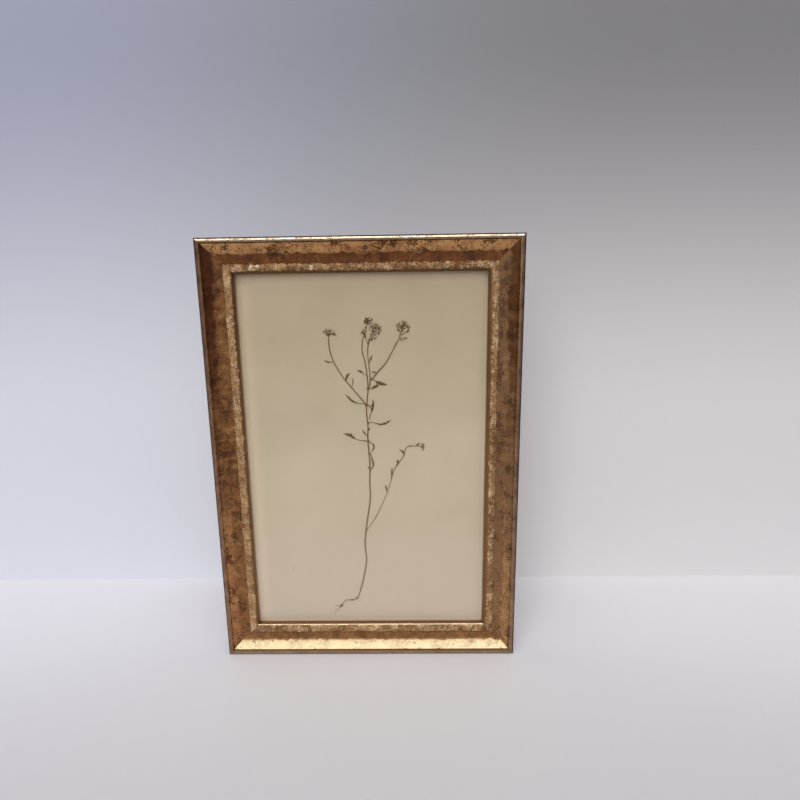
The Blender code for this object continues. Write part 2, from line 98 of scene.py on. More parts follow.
# How each rail was finished by hand, and the painted light and shade laid on it.
#   start, softness: where the umber toning starts, as v, and how wide its edge is
#   dark: how dark the toning is at each end of the rail
#   scoop_umber: how far umber covers the outer scoop at each end of the rail
#   umber_end: where that cover stops, as v
#   painted_shade: how much painted shade darkens the scoop under that cover, and the lip
#   beside it. On the side rails the toning, the cover and this shade all grow towards
#   the top end, so the umber there carries painted shade as well.
#   filled: how thickly the quirk is filled with wax
#   bead: where the cream bead starts and ends, as v
#   painted: what the gilding reads from the mesh. It says how thickly the gold is
#   flecked, how pale it is (on the bottom rail's scoop the paleness is painted highlight),
#   how much reddish bronze wash dulls it, how dusty the umber is, how much dirt lies in the
#   quirk, how dark the sight edge is with dirt and with painted shade, how worn the bead
#   is, how polished the lip is and how far it is painted bright as a painted highlight,
#   and how much painted highlight lies along the sight edge.
RAIL_FINISH = {
    "left": dict(
        start=9.4, softness=4.4, dark=(0.36, 0.62), scoop_umber=(0.10, 0.98), umber_end=11.3,
        painted_shade=(0.74, 1.05), filled=0.45, bead=(18.8, 24.5),
        painted=dict(flecks=0.85, pale=0.0, bronze=0.95, dust=0.0, quirk=0.10, sight_grime_and_shade=0.35,
                     wear=0.60, lip_polish_and_highlight=0.0, sight_highlight=0.0)),
    "right": dict(
        start=9.4, softness=4.4, dark=(0.54, 0.32), scoop_umber=(0.86, 0.02), umber_end=11.6,
        painted_shade=(0.12, 1.00), filled=0.50, bead=(18.2, 23.1),
        painted=dict(flecks=0.80, pale=0.30, bronze=0.10, dust=0.60, quirk=0.0, sight_grime_and_shade=0.25,
                     wear=0.85, lip_polish_and_highlight=0.0, sight_highlight=0.0)),
    "top": dict(
        start=11.6, softness=1.8, dark=(0.85, 0.85), scoop_umber=(0.0, 0.0), umber_end=9.0,
        painted_shade=(0.0, 0.0), filled=0.0, bead=(19.2, 24.1),
        painted=dict(flecks=0.95, pale=0.05, bronze=0.10, dust=0.0, quirk=0.75, sight_grime_and_shade=0.75,
                     wear=1.10, lip_polish_and_highlight=1.0, sight_highlight=0.0)),
    "bottom": dict(
        start=11.0, softness=3.0, dark=(0.345, 0.345), scoop_umber=(0.0, 0.0), umber_end=9.0,
        painted_shade=(0.0, 0.0), filled=0.0, bead=(19.4, 25.4),
        painted=dict(flecks=0.20, pale=0.96, bronze=0.0, dust=0.0, quirk=1.0, sight_grime_and_shade=0.30,
                     wear=0.90, lip_polish_and_highlight=0.10, sight_highlight=1.0)),
}


# ---- small helpers for meshes ----

class Skin:
    """Points, faces and painted values of one mesh while it is being built."""

    def __init__(self):
        self.points = []
        self.faces = []
        self.finish = []
        self.values = {}

    def ring(self, points, **values):
        """Add one ring of points and return their numbers."""
        start = len(self.points)
        self.points.extend(points)
        for name, numbers in values.items():
            self.values.setdefault(name, []).extend(numbers)
        return list(range(start, len(self.points)))

    def tube(self, rings, finish=0):
        """Join neighbouring rings with quads and close both ends."""
        for near, far in zip(rings, rings[1:]):
            count = len(near)
            for i in range(count):
                j = (i + 1) % count
                self.faces.append((near[i], near[j], far[j], far[i]))
                self.finish.append(finish)
        for end in (rings[0], rings[-1]):
            self.faces.append(tuple(end))
            self.finish.append(finish)

    def make(self, name, materials, sharp_angle=55):
        """Return a smooth-shaded object of what was built, with its faces pointing out."""
        mesh = bpy.data.meshes.new(name)
        mesh.from_pydata(self.points, [], self.faces)
        mesh.polygons.foreach_set("material_index", self.finish)
        for value_name, numbers in self.values.items():
            layer = mesh.attributes.new(value_name, "FLOAT", "POINT")
            layer.data.foreach_set("value", numbers)
        work = bmesh.new()
        work.from_mesh(mesh)
        bmesh.ops.recalc_face_normals(work, faces=work.faces)
        work.to_mesh(mesh)
        work.free()
        mesh.shade_smooth()
        mesh.set_sharp_from_angle(angle=math.radians(sharp_angle))
        for material in materials:
            mesh.materials.append(material)
        thing = bpy.data.objects.new(name, mesh)
        bpy.context.scene.collection.objects.link(thing)
        return thing


def ripple(*place, size=1.0, layers=2):
    """Return smooth noise between about -1 and 1, with features about size long."""
    spot = Vector(place) / size
    return noise.fractal(spot, 1.0, 2.0, layers, noise_basis="PERLIN_ORIGINAL")


def soft_step(value, low, high):
    """Rise smoothly from 0 at low to 1 at high."""
    t = min(1.0, max(0.0, (value - low) / (high - low)))
    return t * t * (3 - 2 * t)


def smooth_route(points, spacing):
    """Return points along a Catmull-Rom curve through the given ones, about spacing apart."""
    first = tuple(2 * a - b for a, b in zip(points[0], points[1]))
    last = tuple(2 * a - b for a, b in zip(points[-1], points[-2]))
    chain = [Vector(p) for p in (first, *points, last)]
    route = []
    for before, start, end, after in zip(chain, chain[1:], chain[2:], chain[3:]):
        steps = max(1, round((end - start).length / spacing))
        for step in range(steps):
            t = step / steps
            route.append(0.5 * (2 * start + (end - before) * t
                                + (2 * before - 5 * start + 4 * end - after) * t ** 2
                                + (3 * start - before - 3 * end + after) * t ** 3))
    route.append(chain[-2])
    return route


def route_normals(route):
    """Return, for each point of a flat route, the direction to its left."""
    normals = []
    for i in range(len(route)):
        ahead = route[min(i + 1, len(route) - 1)] - route[max(i - 1, 0)]
        ahead.normalize()
        normals.append(Vector((-ahead.y, ahead.x)))
    return normals


# ---- small helpers for materials ----

def connect(tree, value, socket):
    """Link a socket to an input, or set the input's own value; a colour may be (r, g, b)."""
    if isinstance(value, bpy.types.NodeSocket):
        tree.links.new(value, socket)
    elif socket.type == "RGBA" and len(value) == 3:
        socket.default_value = (*value, 1.0)
    else:
        socket.default_value = value


def add_node(tree, kind, inputs=None, **settings):
    """Add a node; an input that is a socket is linked, and any other value is set."""
    made = tree.nodes.new(kind)
    for name, value in settings.items():
        setattr(made, name, value)
    for name, value in (inputs or {}).items():
        connect(tree, value, made.inputs[name])
    return made


def maths(tree, operation, *values):
    """Return the output of a Math node."""
    made = add_node(tree, "ShaderNodeMath", dict(enumerate(values)), operation=operation)
    return made.outputs[0]


def times(tree, first, second):
    """Return two values multiplied."""
    return maths(tree, "MULTIPLY", first, second)


def remap(tree, value, low, high, new_low=0.0, new_high=1.0):
    """Return value taken smoothly from low..high to new_low..new_high."""
    made = add_node(tree, "ShaderNodeMapRange",
                    {"Value": value, "From Min": low, "From Max": high,
                     "To Min": new_low, "To Max": new_high}, interpolation_type="SMOOTHSTEP")
    return made.outputs["Result"]


def between(tree, value, low, high, edge):
    """Return 1 where value is between low and high, with soft edges."""
    return times(tree, remap(tree, value, low, low + edge),
                 remap(tree, value, high - edge, high, 1.0, 0.0))


def blend_colour(tree, share, first, second, strength=1.0, kind="MIX"):
    """Return first turned into second by share, at some strength."""
    if strength != 1.0:
        share = times(tree, share, strength)
    made = add_node(tree, "ShaderNodeMix", data_type="RGBA", blend_type=kind)
    for number, value in ((0, share), (6, first), (7, second)):
        connect(tree, value, made.inputs[number])
    return made.outputs[2]


def blend_value(tree, share, first, second):
    """Return one number turned into another by share."""
    return add_node(tree, "ShaderNodeMix", {0: share, 2: first, 3: second},
                    data_type="FLOAT").outputs[0]


def grain(tree, place, size, detail=2.0, roughness=0.5, distortion=0.0):
    """Return noise from 0 to 1 with features about size long, in the place's own unit."""
    scale = 1.0 / size if isinstance(size, float) else maths(tree, "DIVIDE", 1.0, size)
    made = add_node(tree, "ShaderNodeTexNoise",
                    {"Vector": place, "Scale": scale, "Detail": detail,
                     "Roughness": roughness, "Distortion": distortion})
    return made.outputs["Fac"]


def painted(tree, name):
    """Return a value painted on the mesh."""
    return add_node(tree, "ShaderNodeAttribute", attribute_name=name).outputs["Fac"]


def vector_of(tree, x, y, z=0.0):
    """Return a vector made of three values."""
    return add_node(tree, "ShaderNodeCombineXYZ", {0: x, 1: y, 2: z}).outputs[0]


def parts_of(tree, vector):
    """Return the sockets of a vector's three values, by the names X, Y and Z."""
    return add_node(tree, "ShaderNodeSeparateXYZ", {0: vector}).outputs


def place_in_mm(tree):
    """Return where a surface point is in the frame of reference, in millimetres."""
    spot = add_node(tree, "ShaderNodeTexCoord").outputs["Object"]
    return add_node(tree, "ShaderNodeVectorMath", {0: spot, "Scale": 1.0 / MM},
                    operation="SCALE").outputs[0]


def new_material(name, **values):
    """Return a material, its tree and its Principled shader with plain values set."""
    material = bpy.data.materials.new(name)
    material.use_nodes = True
    tree = material.node_tree
    shader = tree.nodes["Principled BSDF"]
    for socket, value in values.items():
        shader.inputs[socket.replace("_", " ")].default_value = value
    return material, tree, shader


def clothe(tree, shader, colour, height, depth):
    """Feed a shader its colour and a bump of some height; depth is in metres."""
    tree.links.new(colour, shader.inputs["Base Color"])
    bump = add_node(tree, "ShaderNodeBump", {"Height": height, "Distance": depth})
    tree.links.new(bump.outputs["Normal"], shader.inputs["Normal"])


def show_either(tree, share, first, second):
    """Let a surface show one shader where share is 0 and another where it is 1."""
    either = add_node(tree, "ShaderNodeMixShader",
                      {0: share, 1: first.outputs["BSDF"], 2: second.outputs["BSDF"]})
    tree.links.new(either.outputs["Shader"], tree.nodes["Material Output"].inputs["Surface"])


def new_group(name, inputs, outputs):
    """Return a shader node group, the sockets it is given and the sockets of its result."""
    tree = bpy.data.node_groups.new(name, "ShaderNodeTree")
    for socket, kind, value in inputs:
        made = tree.interface.new_socket(socket, in_out="INPUT", socket_type=kind)
        made.default_value = value
    for socket, kind in outputs:
        tree.interface.new_socket(socket, in_out="OUTPUT", socket_type=kind)
    given = tree.nodes.new("NodeGroupInput").outputs
    result = tree.nodes.new("NodeGroupOutput").inputs
    return tree, given, result


def use_group(tree, group, **inputs):
    """Place a node group in a material and return its outputs."""
    made = tree.nodes.new("ShaderNodeGroup")
    made.node_tree = group
    for name, value in inputs.items():
        connect(tree, value, made.inputs[name.replace("_", " ")])
    return made.outputs


FLOAT = "NodeSocketFloat"
COLOUR = "NodeSocketColor"
VECTOR = "NodeSocketVector"


def patchy_flecks_group():
    """Small flecks that gather in patches: specks of toning, foxing, fibres or tarnish."""
    tree, given, result = new_group(
        "patchy_flecks",
        [("Place", VECTOR, (0, 0, 0)), ("Fleck Size", FLOAT, 1.0), ("Patch Size", FLOAT, 15.0),
         ("Amount", FLOAT, 0.5)],
        [("Mask", FLOAT)])
    fine = grain(tree, given["Place"], given["Fleck Size"], 3.0, 0.62, 0.4)
    patch = grain(tree, given["Place"], given["Patch Size"], 2.0, 0.6)
    lifted = maths(tree, "ADD", fine, maths(tree, "MULTIPLY_ADD", patch, 0.9, -0.45))
    limit = maths(tree, "MULTIPLY_ADD", given["Amount"], -0.35, 0.78)
    over = maths(tree, "SUBTRACT", lifted, limit)
    tree.links.new(remap(tree, over, 0.0, 0.06), result["Mask"])
    return tree


def uneven_tone_group():
    """A colour that drifts between a dark, a middle and a light tone over a surface."""
    tree, given, result = new_group(
        "uneven_tone",
        [("Place", VECTOR, (0, 0, 0)), ("Size", FLOAT, 20.0), ("Dark", COLOUR, (0, 0, 0, 1)),
         ("Middle", COLOUR, (0.5, 0.5, 0.5, 1)), ("Light", COLOUR, (1, 1, 1, 1))],
        [("Colour", COLOUR), ("Drift", FLOAT)])
    drift = grain(tree, given["Place"], given["Size"], 4.0, 0.6, 0.3)
    low = blend_colour(tree, remap(tree, drift, 0.32, 0.5), given["Dark"], given["Middle"])
    full = blend_colour(tree, remap(tree, drift, 0.5, 0.68), low, given["Light"])
    tree.links.new(full, result["Colour"])
    tree.links.new(drift, result["Drift"])
    return tree


def long_streaks_group():
    """Fine streaks that run along a grain, as in wood, stalks and leaf veins."""
    tree, given, result = new_group(
        "long_streaks",
        [("Along", FLOAT, 0.0), ("Across", FLOAT, 0.0), ("Streak Length", FLOAT, 10.0),
         ("Streak Width", FLOAT, 0.3), ("Seed", FLOAT, 0.0)],
        [("Mask", FLOAT)])
    along = maths(tree, "DIVIDE", given["Along"], given["Streak Length"])
    across = maths(tree, "DIVIDE", given["Across"], given["Streak Width"])
    streaked = grain(tree, vector_of(tree, along, across, given["Seed"]), 1.0, 3.0, 0.55)
    tree.links.new(remap(tree, streaked, 0.3, 0.7), result["Mask"])
    return tree


def fine_crackle_group():
    """Wandering cracks that open in patches, as in old composition and varnish."""
    tree, given, result = new_group(
        "fine_crackle",
        [("Place", VECTOR, (0, 0, 0)), ("Size", FLOAT, 1.5), ("Width", FLOAT, 0.05),
         ("Amount", FLOAT, 0.5)],
        [("Mask", FLOAT)])
    wander = grain(tree, given["Place"], given["Size"], 2.0, 0.55, 0.7)
    off_line = maths(tree, "ABSOLUTE", maths(tree, "SUBTRACT", wander, 0.5))
    line = remap(tree, off_line, 0.0, given["Width"], 1.0, 0.0)
    patch_size = maths(tree, "DIVIDE", given["Size"], 0.18)
    patch = grain(tree, given["Place"], patch_size, 1.0)
    limit = maths(tree, "MULTIPLY_ADD", given["Amount"], -0.5, 0.75)
    open_here = remap(tree, maths(tree, "SUBTRACT", patch, limit), -0.07, 0.07)
    tree.links.new(times(tree, line, open_here), result["Mask"])
    return tree


PATCHY_FLECKS = patchy_flecks_group()
UNEVEN_TONE = uneven_tone_group()
LONG_STREAKS = long_streaks_group()
FINE_CRACKLE = fine_crackle_group()


def flecks(tree, place, fleck, patch, amount):
    """Return the mask of flecks of one size that gather in patches of another."""
    return use_group(tree, PATCHY_FLECKS, Place=place, Fleck_Size=fleck, Patch_Size=patch,
                     Amount=amount)["Mask"]


def uneven_tone(tree, place, size, dark, middle, light):
    """Return a colour that drifts between three tones."""
    return use_group(tree, UNEVEN_TONE, Place=place, Size=size, Dark=dark, Middle=middle,
                     Light=light)["Colour"]


def streaks(tree, along, across, length, width, seed=0.0):
    """Return the mask of fine streaks of one length and width."""
    return use_group(tree, LONG_STREAKS, Along=along, Across=across, Streak_Length=length,
                     Streak_Width=width, Seed=seed)["Mask"]


# ---- finishes of the moulding ----

def burnished_gold(tree, along, across, fleck_share):
    """Return the colour of the worn gold leaf, the mask of its flecks and its drift."""
    place = vector_of(tree, along, across)
    leaf = uneven_tone(tree, place, 13.0, (0.470, 0.210, 0.080), (0.610, 0.308, 0.118),
                       (0.710, 0.405, 0.158))
    # On the bottom rail the pale gold on the scoop is painted highlight.
    gold = blend_colour(tree, painted(tree, "pale"), leaf, (0.385, 0.318, 0.196))
    gold = blend_colour(tree, painted(tree, "bronze"), gold, (0.80, 0.75, 0.86), kind="MULTIPLY")
    squeezed = vector_of(tree, times(tree, along, 0.75), across, 3.7)
    specks = times(tree, flecks(tree, squeezed, 0.85, 7.0, 0.66), fleck_share)
    stains = times(tree, flecks(tree, place, 2.6, 14.0, 0.70), fleck_share)
    elsewhere = vector_of(tree, along, across, 9.4)
    glints = times(tree, flecks(tree, elsewhere, 0.75, 9.0, 0.55), fleck_share)
    gold = blend_colour(tree, stains, gold, (0.220, 0.080, 0.034), 0.50)
    gold = blend_colour(tree, glints, gold, (0.780, 0.520, 0.260), 0.35)
    gold = blend_colour(tree, specks, gold, (0.090, 0.032, 0.011), 0.92)
    return gold, specks, leaf.node.outputs["Drift"]


def cream_bead(tree, along, across):
    """Return the colour of the flaking cream composition on the bead, and its cracks."""
    place = vector_of(tree, along, across, 15.3)
    wear = painted(tree, "wear")
    body = uneven_tone(tree, place, 1.5, (0.250, 0.122, 0.045), (0.375, 0.218, 0.100),
                       (0.510, 0.330, 0.170))
    flakes = times(tree, flecks(tree, place, 0.75, 8.0, 0.68), wear)
    flaked = blend_colour(tree, flakes, body, (0.860, 0.660, 0.420), 0.75)
    crackle = use_group(tree, FINE_CRACKLE, Place=place, Size=2.6, Width=0.10,
                        Amount=times(tree, wear, 0.55))["Mask"]
    pits = flecks(tree, vector_of(tree, along, across, 31.0), 0.9, 7.0, times(tree, wear, 0.72))
    opened = times(tree, maths(tree, "MAXIMUM", crackle, pits), 0.88)
    cracked = maths(tree, "MAXIMUM", painted(tree, "cracks"), opened)
    return blend_colour(tree, cracked, flaked, (0.115, 0.045, 0.011)), cracked


def antique_gilding():
    """Burnished gold on the lip and scoop, umber toning, and a pale crackled bead."""
    material, tree, shader = new_material("antique_gilding", IOR=1.5, Specular_IOR_Level=0.15)
    along, across, toning, lip_polish_and_highlight, painted_shade = [
        painted(tree, name) for name in ("along", "across", "toning", "lip_polish_and_highlight", "painted_shade")]
    place = vector_of(tree, along, across)
    fine = grain(tree, place, 0.9, 3.0, 0.6)
    ragged = maths(tree, "SUBTRACT", fine, 0.5)
    ragged_across = maths(tree, "ADD", across, ragged)

    gold, specks, drift = burnished_gold(tree, along, across, painted(tree, "flecks"))
    # Painted highlight on the top rail's lip, painted shade on the other lips.
    shaded_lip = uneven_tone(tree, place, 9.0, (0.185, 0.108, 0.068), (0.260, 0.155, 0.100),
                           (0.340, 0.205, 0.130))
    highlit_lip = uneven_tone(tree, place, 4.0, (0.570, 0.420, 0.280), (0.670, 0.510, 0.360),
                             (0.750, 0.610, 0.460))
    lip = blend_colour(tree, lip_polish_and_highlight, shaded_lip, highlit_lip)
    lip = blend_colour(tree, specks, lip, (0.060, 0.028, 0.013), 0.35)
    blotch_place = vector_of(tree, along, times(tree, across, 0.5), 8.1)
    umber = uneven_tone(tree, blotch_place, 5.0, (0.135, 0.052, 0.020), (0.225, 0.100, 0.034),
                        (0.320, 0.165, 0.062))
    umber = blend_colour(tree, painted(tree, "dust"), umber, (0.215, 0.125, 0.064))
    umber = blend_colour(tree, remap(tree, toning, 0.50, 0.90), umber, (0.48, 0.34, 0.18),
                         kind="MULTIPLY")
    # Painted shade: the umber darkens towards the top end of the side rails.
    umber = blend_colour(tree, painted_shade, umber, (0.46, 0.34, 0.38), kind="MULTIPLY")
    umber = blend_colour(tree, specks, umber, (0.035, 0.014, 0.006), 0.80)
    bead, cracked = cream_bead(tree, along, across)
    # The sight edge darkens with dirt, and with painted shade on the top rail.
    sight = blend_colour(tree, painted(tree, "sight_grime_and_shade"), (0.300, 0.158, 0.066),
                         (0.085, 0.042, 0.018))
    side_paint = uneven_tone(tree, place, 9.0, (0.022, 0.013, 0.009), (0.042, 0.025, 0.017),
                             (0.085, 0.050, 0.032))

    bead_zone, sight_zone = [
        remap(tree, maths(tree, "ADD", painted(tree, name), ragged), 0.42, 0.56)
        for name in ("bead", "sight")]
    lip_zone = remap(tree, ragged_across, 3.0, 4.1, 1.0, 0.0)
    side_zone = remap(tree, ragged_across, 0.7, 1.5, 1.0, 0.0)
    quirk_zone = times(tree, between(tree, across, 2.5, 4.6, 0.7), painted(tree, "quirk"))
    # A painted highlight: a pale stripe along the bottom rail's sight edge.
    sight_highlight_zone = times(tree, between(tree, across, 25.1, 26.0, 0.4), painted(tree, "sight_highlight"))
    mottled = times(tree, toning, remap(tree, fine, 0.35, 0.62, 0.75, 1.25))
    past_lip = maths(tree, "SUBTRACT", 1.0, lip_zone)
    toning_zone = times(tree, remap(tree, mottled, 0.08, 0.42), past_lip)

    # Painted shade darkens the lip beside the umber cover on the side rails.
    lip = blend_colour(tree, times(tree, painted_shade, lip_zone), lip, (0.40, 0.36, 0.36),
                       kind="MULTIPLY")
    colour = blend_colour(tree, lip_zone, gold, lip)
    colour = blend_colour(tree, quirk_zone, colour, (0.115, 0.062, 0.020), 0.85)
    for zone, tint in ((toning_zone, umber), (sight_zone, sight), (bead_zone, bead),
                       (sight_highlight_zone, (0.780, 0.590, 0.380)), (side_zone, side_paint)):
        colour = blend_colour(tree, zone, colour, tint)

    metal = blend_value(tree, lip_zone, 1.0, remap(tree, lip_polish_and_highlight, 0.0, 1.0, 0.35, 1.0))
    for zone, value in ((toning_zone, 0.30), (sight_zone, 0.85), (bead_zone, 0.15),
                        (side_zone, 0.3)):
        metal = blend_value(tree, zone, metal, value)
    tree.links.new(metal, shader.inputs["Metallic"])

    rough = blend_value(tree, lip_zone, remap(tree, drift, 0.3, 0.7, 0.20, 0.27),
                        remap(tree, lip_polish_and_highlight, 0.0, 1.0, 0.55, 0.19))
    for zone, value in ((toning_zone, 0.55), (sight_zone, 0.30), (bead_zone, 0.52),
                        (sight_highlight_zone, 0.30), (side_zone, 0.6), (specks, 0.50)):
        rough = blend_value(tree, zone, rough, value)
    tree.links.new(rough, shader.inputs["Roughness"])

    brushing = times(tree, streaks(tree, along, across, 9.0, 0.5), 0.15)
    sunk = maths(tree, "MAXIMUM", specks, times(tree, bead_zone, cracked))
    grit = times(tree, grain(tree, place, 0.45, 2.0), 0.3)
    height = maths(tree, "ADD", maths(tree, "MULTIPLY_ADD", sunk, -0.8, brushing), grit)
    clothe(tree, shader, colour, height, 0.00004)
    return material


def bare_rail_wood():
    """Unfinished softwood on the back of the moulding and in its rabbet."""
    material, tree, shader = new_material("bare_rail_wood", Roughness=0.72)
    along, across = painted(tree, "along"), painted(tree, "across")
    rays = streaks(tree, along, across, 38.0, 0.9)
    pores = streaks(tree, along, across, 3.5, 0.16, 4.0)
    wood = uneven_tone(tree, vector_of(tree, along, across), 45.0, (0.36, 0.21, 0.11),
                       (0.50, 0.33, 0.19), (0.60, 0.43, 0.27))
    wood = blend_colour(tree, rays, wood, (0.30, 0.17, 0.085), 0.45)
    wood = blend_colour(tree, pores, wood, (0.20, 0.11, 0.055), 0.25)
    clothe(tree, shader, wood, maths(tree, "ADD", rays, pores), 0.00005)
    return material


# ---- the moulding's shape ----

def scoop_slope(v):
    """Return how steeply the scoop falls back, in degrees: a long bevel, then a low rise."""
    bevel_v, rise_v = 4.2, 12.4
    bevel = 32.0 - 1.3 * (v - bevel_v)
    rise = -2.0 - 1.9 * (v - rise_v)
    return bevel + (rise - bevel) * soft_step(v, 10.6, 13.0)


def moulding_profile():
    """Return the rail's section as (v, s, across) points, from the back round the front.

    across is v on the face, and goes on smoothly round both edges.
    """
    lip_radius, lip_end = 2.05, 12
    scoop_start, scoop_front = 4.2, 1.6
    crown_v, crown_s, bead_radius = 21.8, 3.4, 6.2
    bead_first, bead_last = 18.3, 25.8
    ledge_s, rabbet_v = 8.8, 20.0

    profile = []
    side_steps = 9
    for step in range(side_steps):
        s = RAIL_DEPTH + (lip_radius - RAIL_DEPTH) * step / side_steps
        profile.append((0.0, s, lip_radius - s))
    lip_steps, fullness = 18, 2 / 2.5
    for step in range(lip_steps + 1):
        angle = math.radians(180 - (180 - lip_end) * step / lip_steps)
        reach = math.copysign(abs(math.cos(angle)) ** fullness, math.cos(angle))
        v = lip_radius * (1 + reach)
        profile.append((v, lip_radius * (1 - math.sin(angle) ** fullness), v))
    profile.append((QUIRK_V, 1.7, QUIRK_V))
    v, s, scoop_steps = scoop_start, scoop_front, 36
    stride = (bead_first - 0.3 - scoop_start) / scoop_steps
    for step in range(scoop_steps + 1):
        profile.append((v, s, v))
        s += stride * math.tan(math.radians(scoop_slope(v + stride / 2)))
        v += stride
    bead_steps = 26
    for step in range(bead_steps + 1):
        v = bead_first + (bead_last - bead_first) * step / bead_steps
        rise = math.sqrt(bead_radius ** 2 - (v - crown_v) ** 2)
        profile.append((v, crown_s + bead_radius - rise, v))
    sight_s = profile[-1][1] + 0.4
    sight_steps = 5
    for step in range(sight_steps + 1):
        s = sight_s + (ledge_s - sight_s) * step / sight_steps
        profile.append((FACE_WIDTH, s, FACE_WIDTH + s - sight_s))
    edge = profile[-1][2]
    for v in (FACE_WIDTH - 3.0, rabbet_v):
        profile.append((v, ledge_s, edge + FACE_WIDTH - v))
    edge = profile[-1][2]
    for s in (12.0, 15.0, RAIL_DEPTH):
        profile.append((rabbet_v, s, edge + s - ledge_s))
    edge = profile[-1][2]
    for v in (16.0, 12.0, 8.0, 4.0):
        profile.append((v, RAIL_DEPTH, edge + rabbet_v - v))
    return profile


def profile_normals(profile):
    """Return the outward direction at each point of the section, as (v, s)."""
    normals = []
    count = len(profile)
    for i in range(count):
        before, after = profile[i - 1], profile[(i + 1) % count]
        ahead = Vector((after[0] - before[0], after[1] - before[1])).normalized()
        normals.append((ahead.y, -ahead.x))
    return normals


def bead_cracks(along, v, seed):
    """Return how deep the crackle is at a place on the bead, from 0 to 1."""
    gathered = soft_step(ripple(along, v * 0.6, seed, size=9.0), -0.15, 0.35)
    bend = 0.5 * ripple(along, v, seed + 3, size=1.6)
    spot = Vector((along / 1.9 + bend, v / 1.2 - bend, seed))
    distances, centres = noise.voronoi(spot)
    split = 1 - soft_step(distances[1] - distances[0], 0.03, 0.20)
    pick = noise.cell(centres[0] * 7.3)
    pit = (1 - soft_step(distances[0], 0.18, 0.40)) * (pick > 0.45)
    return max(split * gathered * 0.8, pit * soft_step(gathered, 0.1, 0.6))


def face_relief(along, v, seed, finish):
    """Return (height in millimetres, crack depth, bead share, sight share) on the face."""
    height = 0.05 * ripple(along, v, seed, size=14.0)
    cracked = on_bead = on_sight = 0.0
    start, end = finish["bead"]
    wax_width = 0.75
    height += finish["filled"] * math.exp(-((v - QUIRK_V) / wax_width) ** 2)
    if v < QUIRK_V:
        nick = soft_step(ripple(along, v * 0.5, seed + 11, size=2.6, layers=3), 0.34, 0.62)
        height = 0.4 * height - 0.05 * nick
    elif v < start - 1.5:
        dent = soft_step(ripple(along, v, seed + 17, size=3.2, layers=3), 0.38, 0.7)
        height -= 0.10 * dent
    else:
        ragged = v + 1.10 * ripple(along, v * 0.4, seed + 23, size=1.8, layers=3)
        ragged += 0.4 * ripple(along, 0.0, seed + 27, size=9.0)
        on_bead = soft_step(ragged, start - 0.3, start + 0.4)
        on_bead *= 1 - soft_step(ragged, end - 0.3, end + 0.4)
        on_sight = soft_step(ragged, end - 0.3, end + 0.4)
        if on_bead > 0:
            worn = 0.3 + 0.7 * finish["painted"]["wear"]
            cracked = bead_cracks(along, v, seed) * on_bead * worn
        lumps = 0.07 * ripple(along, v, seed + 31, size=1.3, layers=2)
        height += on_bead * (0.12 + lumps) - 0.36 * cracked
    return height, cracked, on_bead, on_sight


def umber_cover(along, across, half_length, seed, finish):
    """Return the umber on a place of the face and the painted shade on it, from 0 to 1."""
    past_lip = soft_step(across, 2.4, 3.4)
    low_end, high_end = finish["scoop_umber"]
    climb = soft_step(along / half_length, -0.70, 1.05)
    over_scoop = low_end + (high_end - low_end) * climb
    over_scoop *= 0.95 + 0.2 * ripple(along, across, seed + 47, size=9.0, layers=3)
    drift = across + 2.2 * ripple(along, across * 0.3, seed + 53, size=8.0, layers=3)
    end = finish["umber_end"]
    in_scoop = past_lip * (1 - soft_step(drift, end - 2.8, end + 2.6))
    wander = 1.6 * ripple(along, across * 0.5, seed + 41, size=5.0, layers=3)
    half = finish["softness"] / 2
    edge = soft_step(across + wander, finish["start"] - half, finish["start"] + half)
    # Painted shade grows with the cover towards the top end of the side rails.
    scoop_shade, lip_shade = finish["painted_shade"]
    painted_shade = over_scoop * (scoop_shade * in_scoop + lip_shade * (1 - past_lip))
    on_face = float(across < FACE_WIDTH)
    low_dark, high_dark = finish["dark"]
    toned = (low_dark + (high_dark - low_dark) * climb) * edge
    return max(toned, over_scoop * in_scoop) * on_face, painted_shade * on_face


def side_matrix(side):
    """Return the matrix that takes (v, s, along the rail) to its place in the frame."""
    turn, (x, z), _ = SIDES[side]
    return Matrix.Translation((x, FRONT_Y, z)) @ Matrix.Rotation(math.radians(turn), 4, "Y")


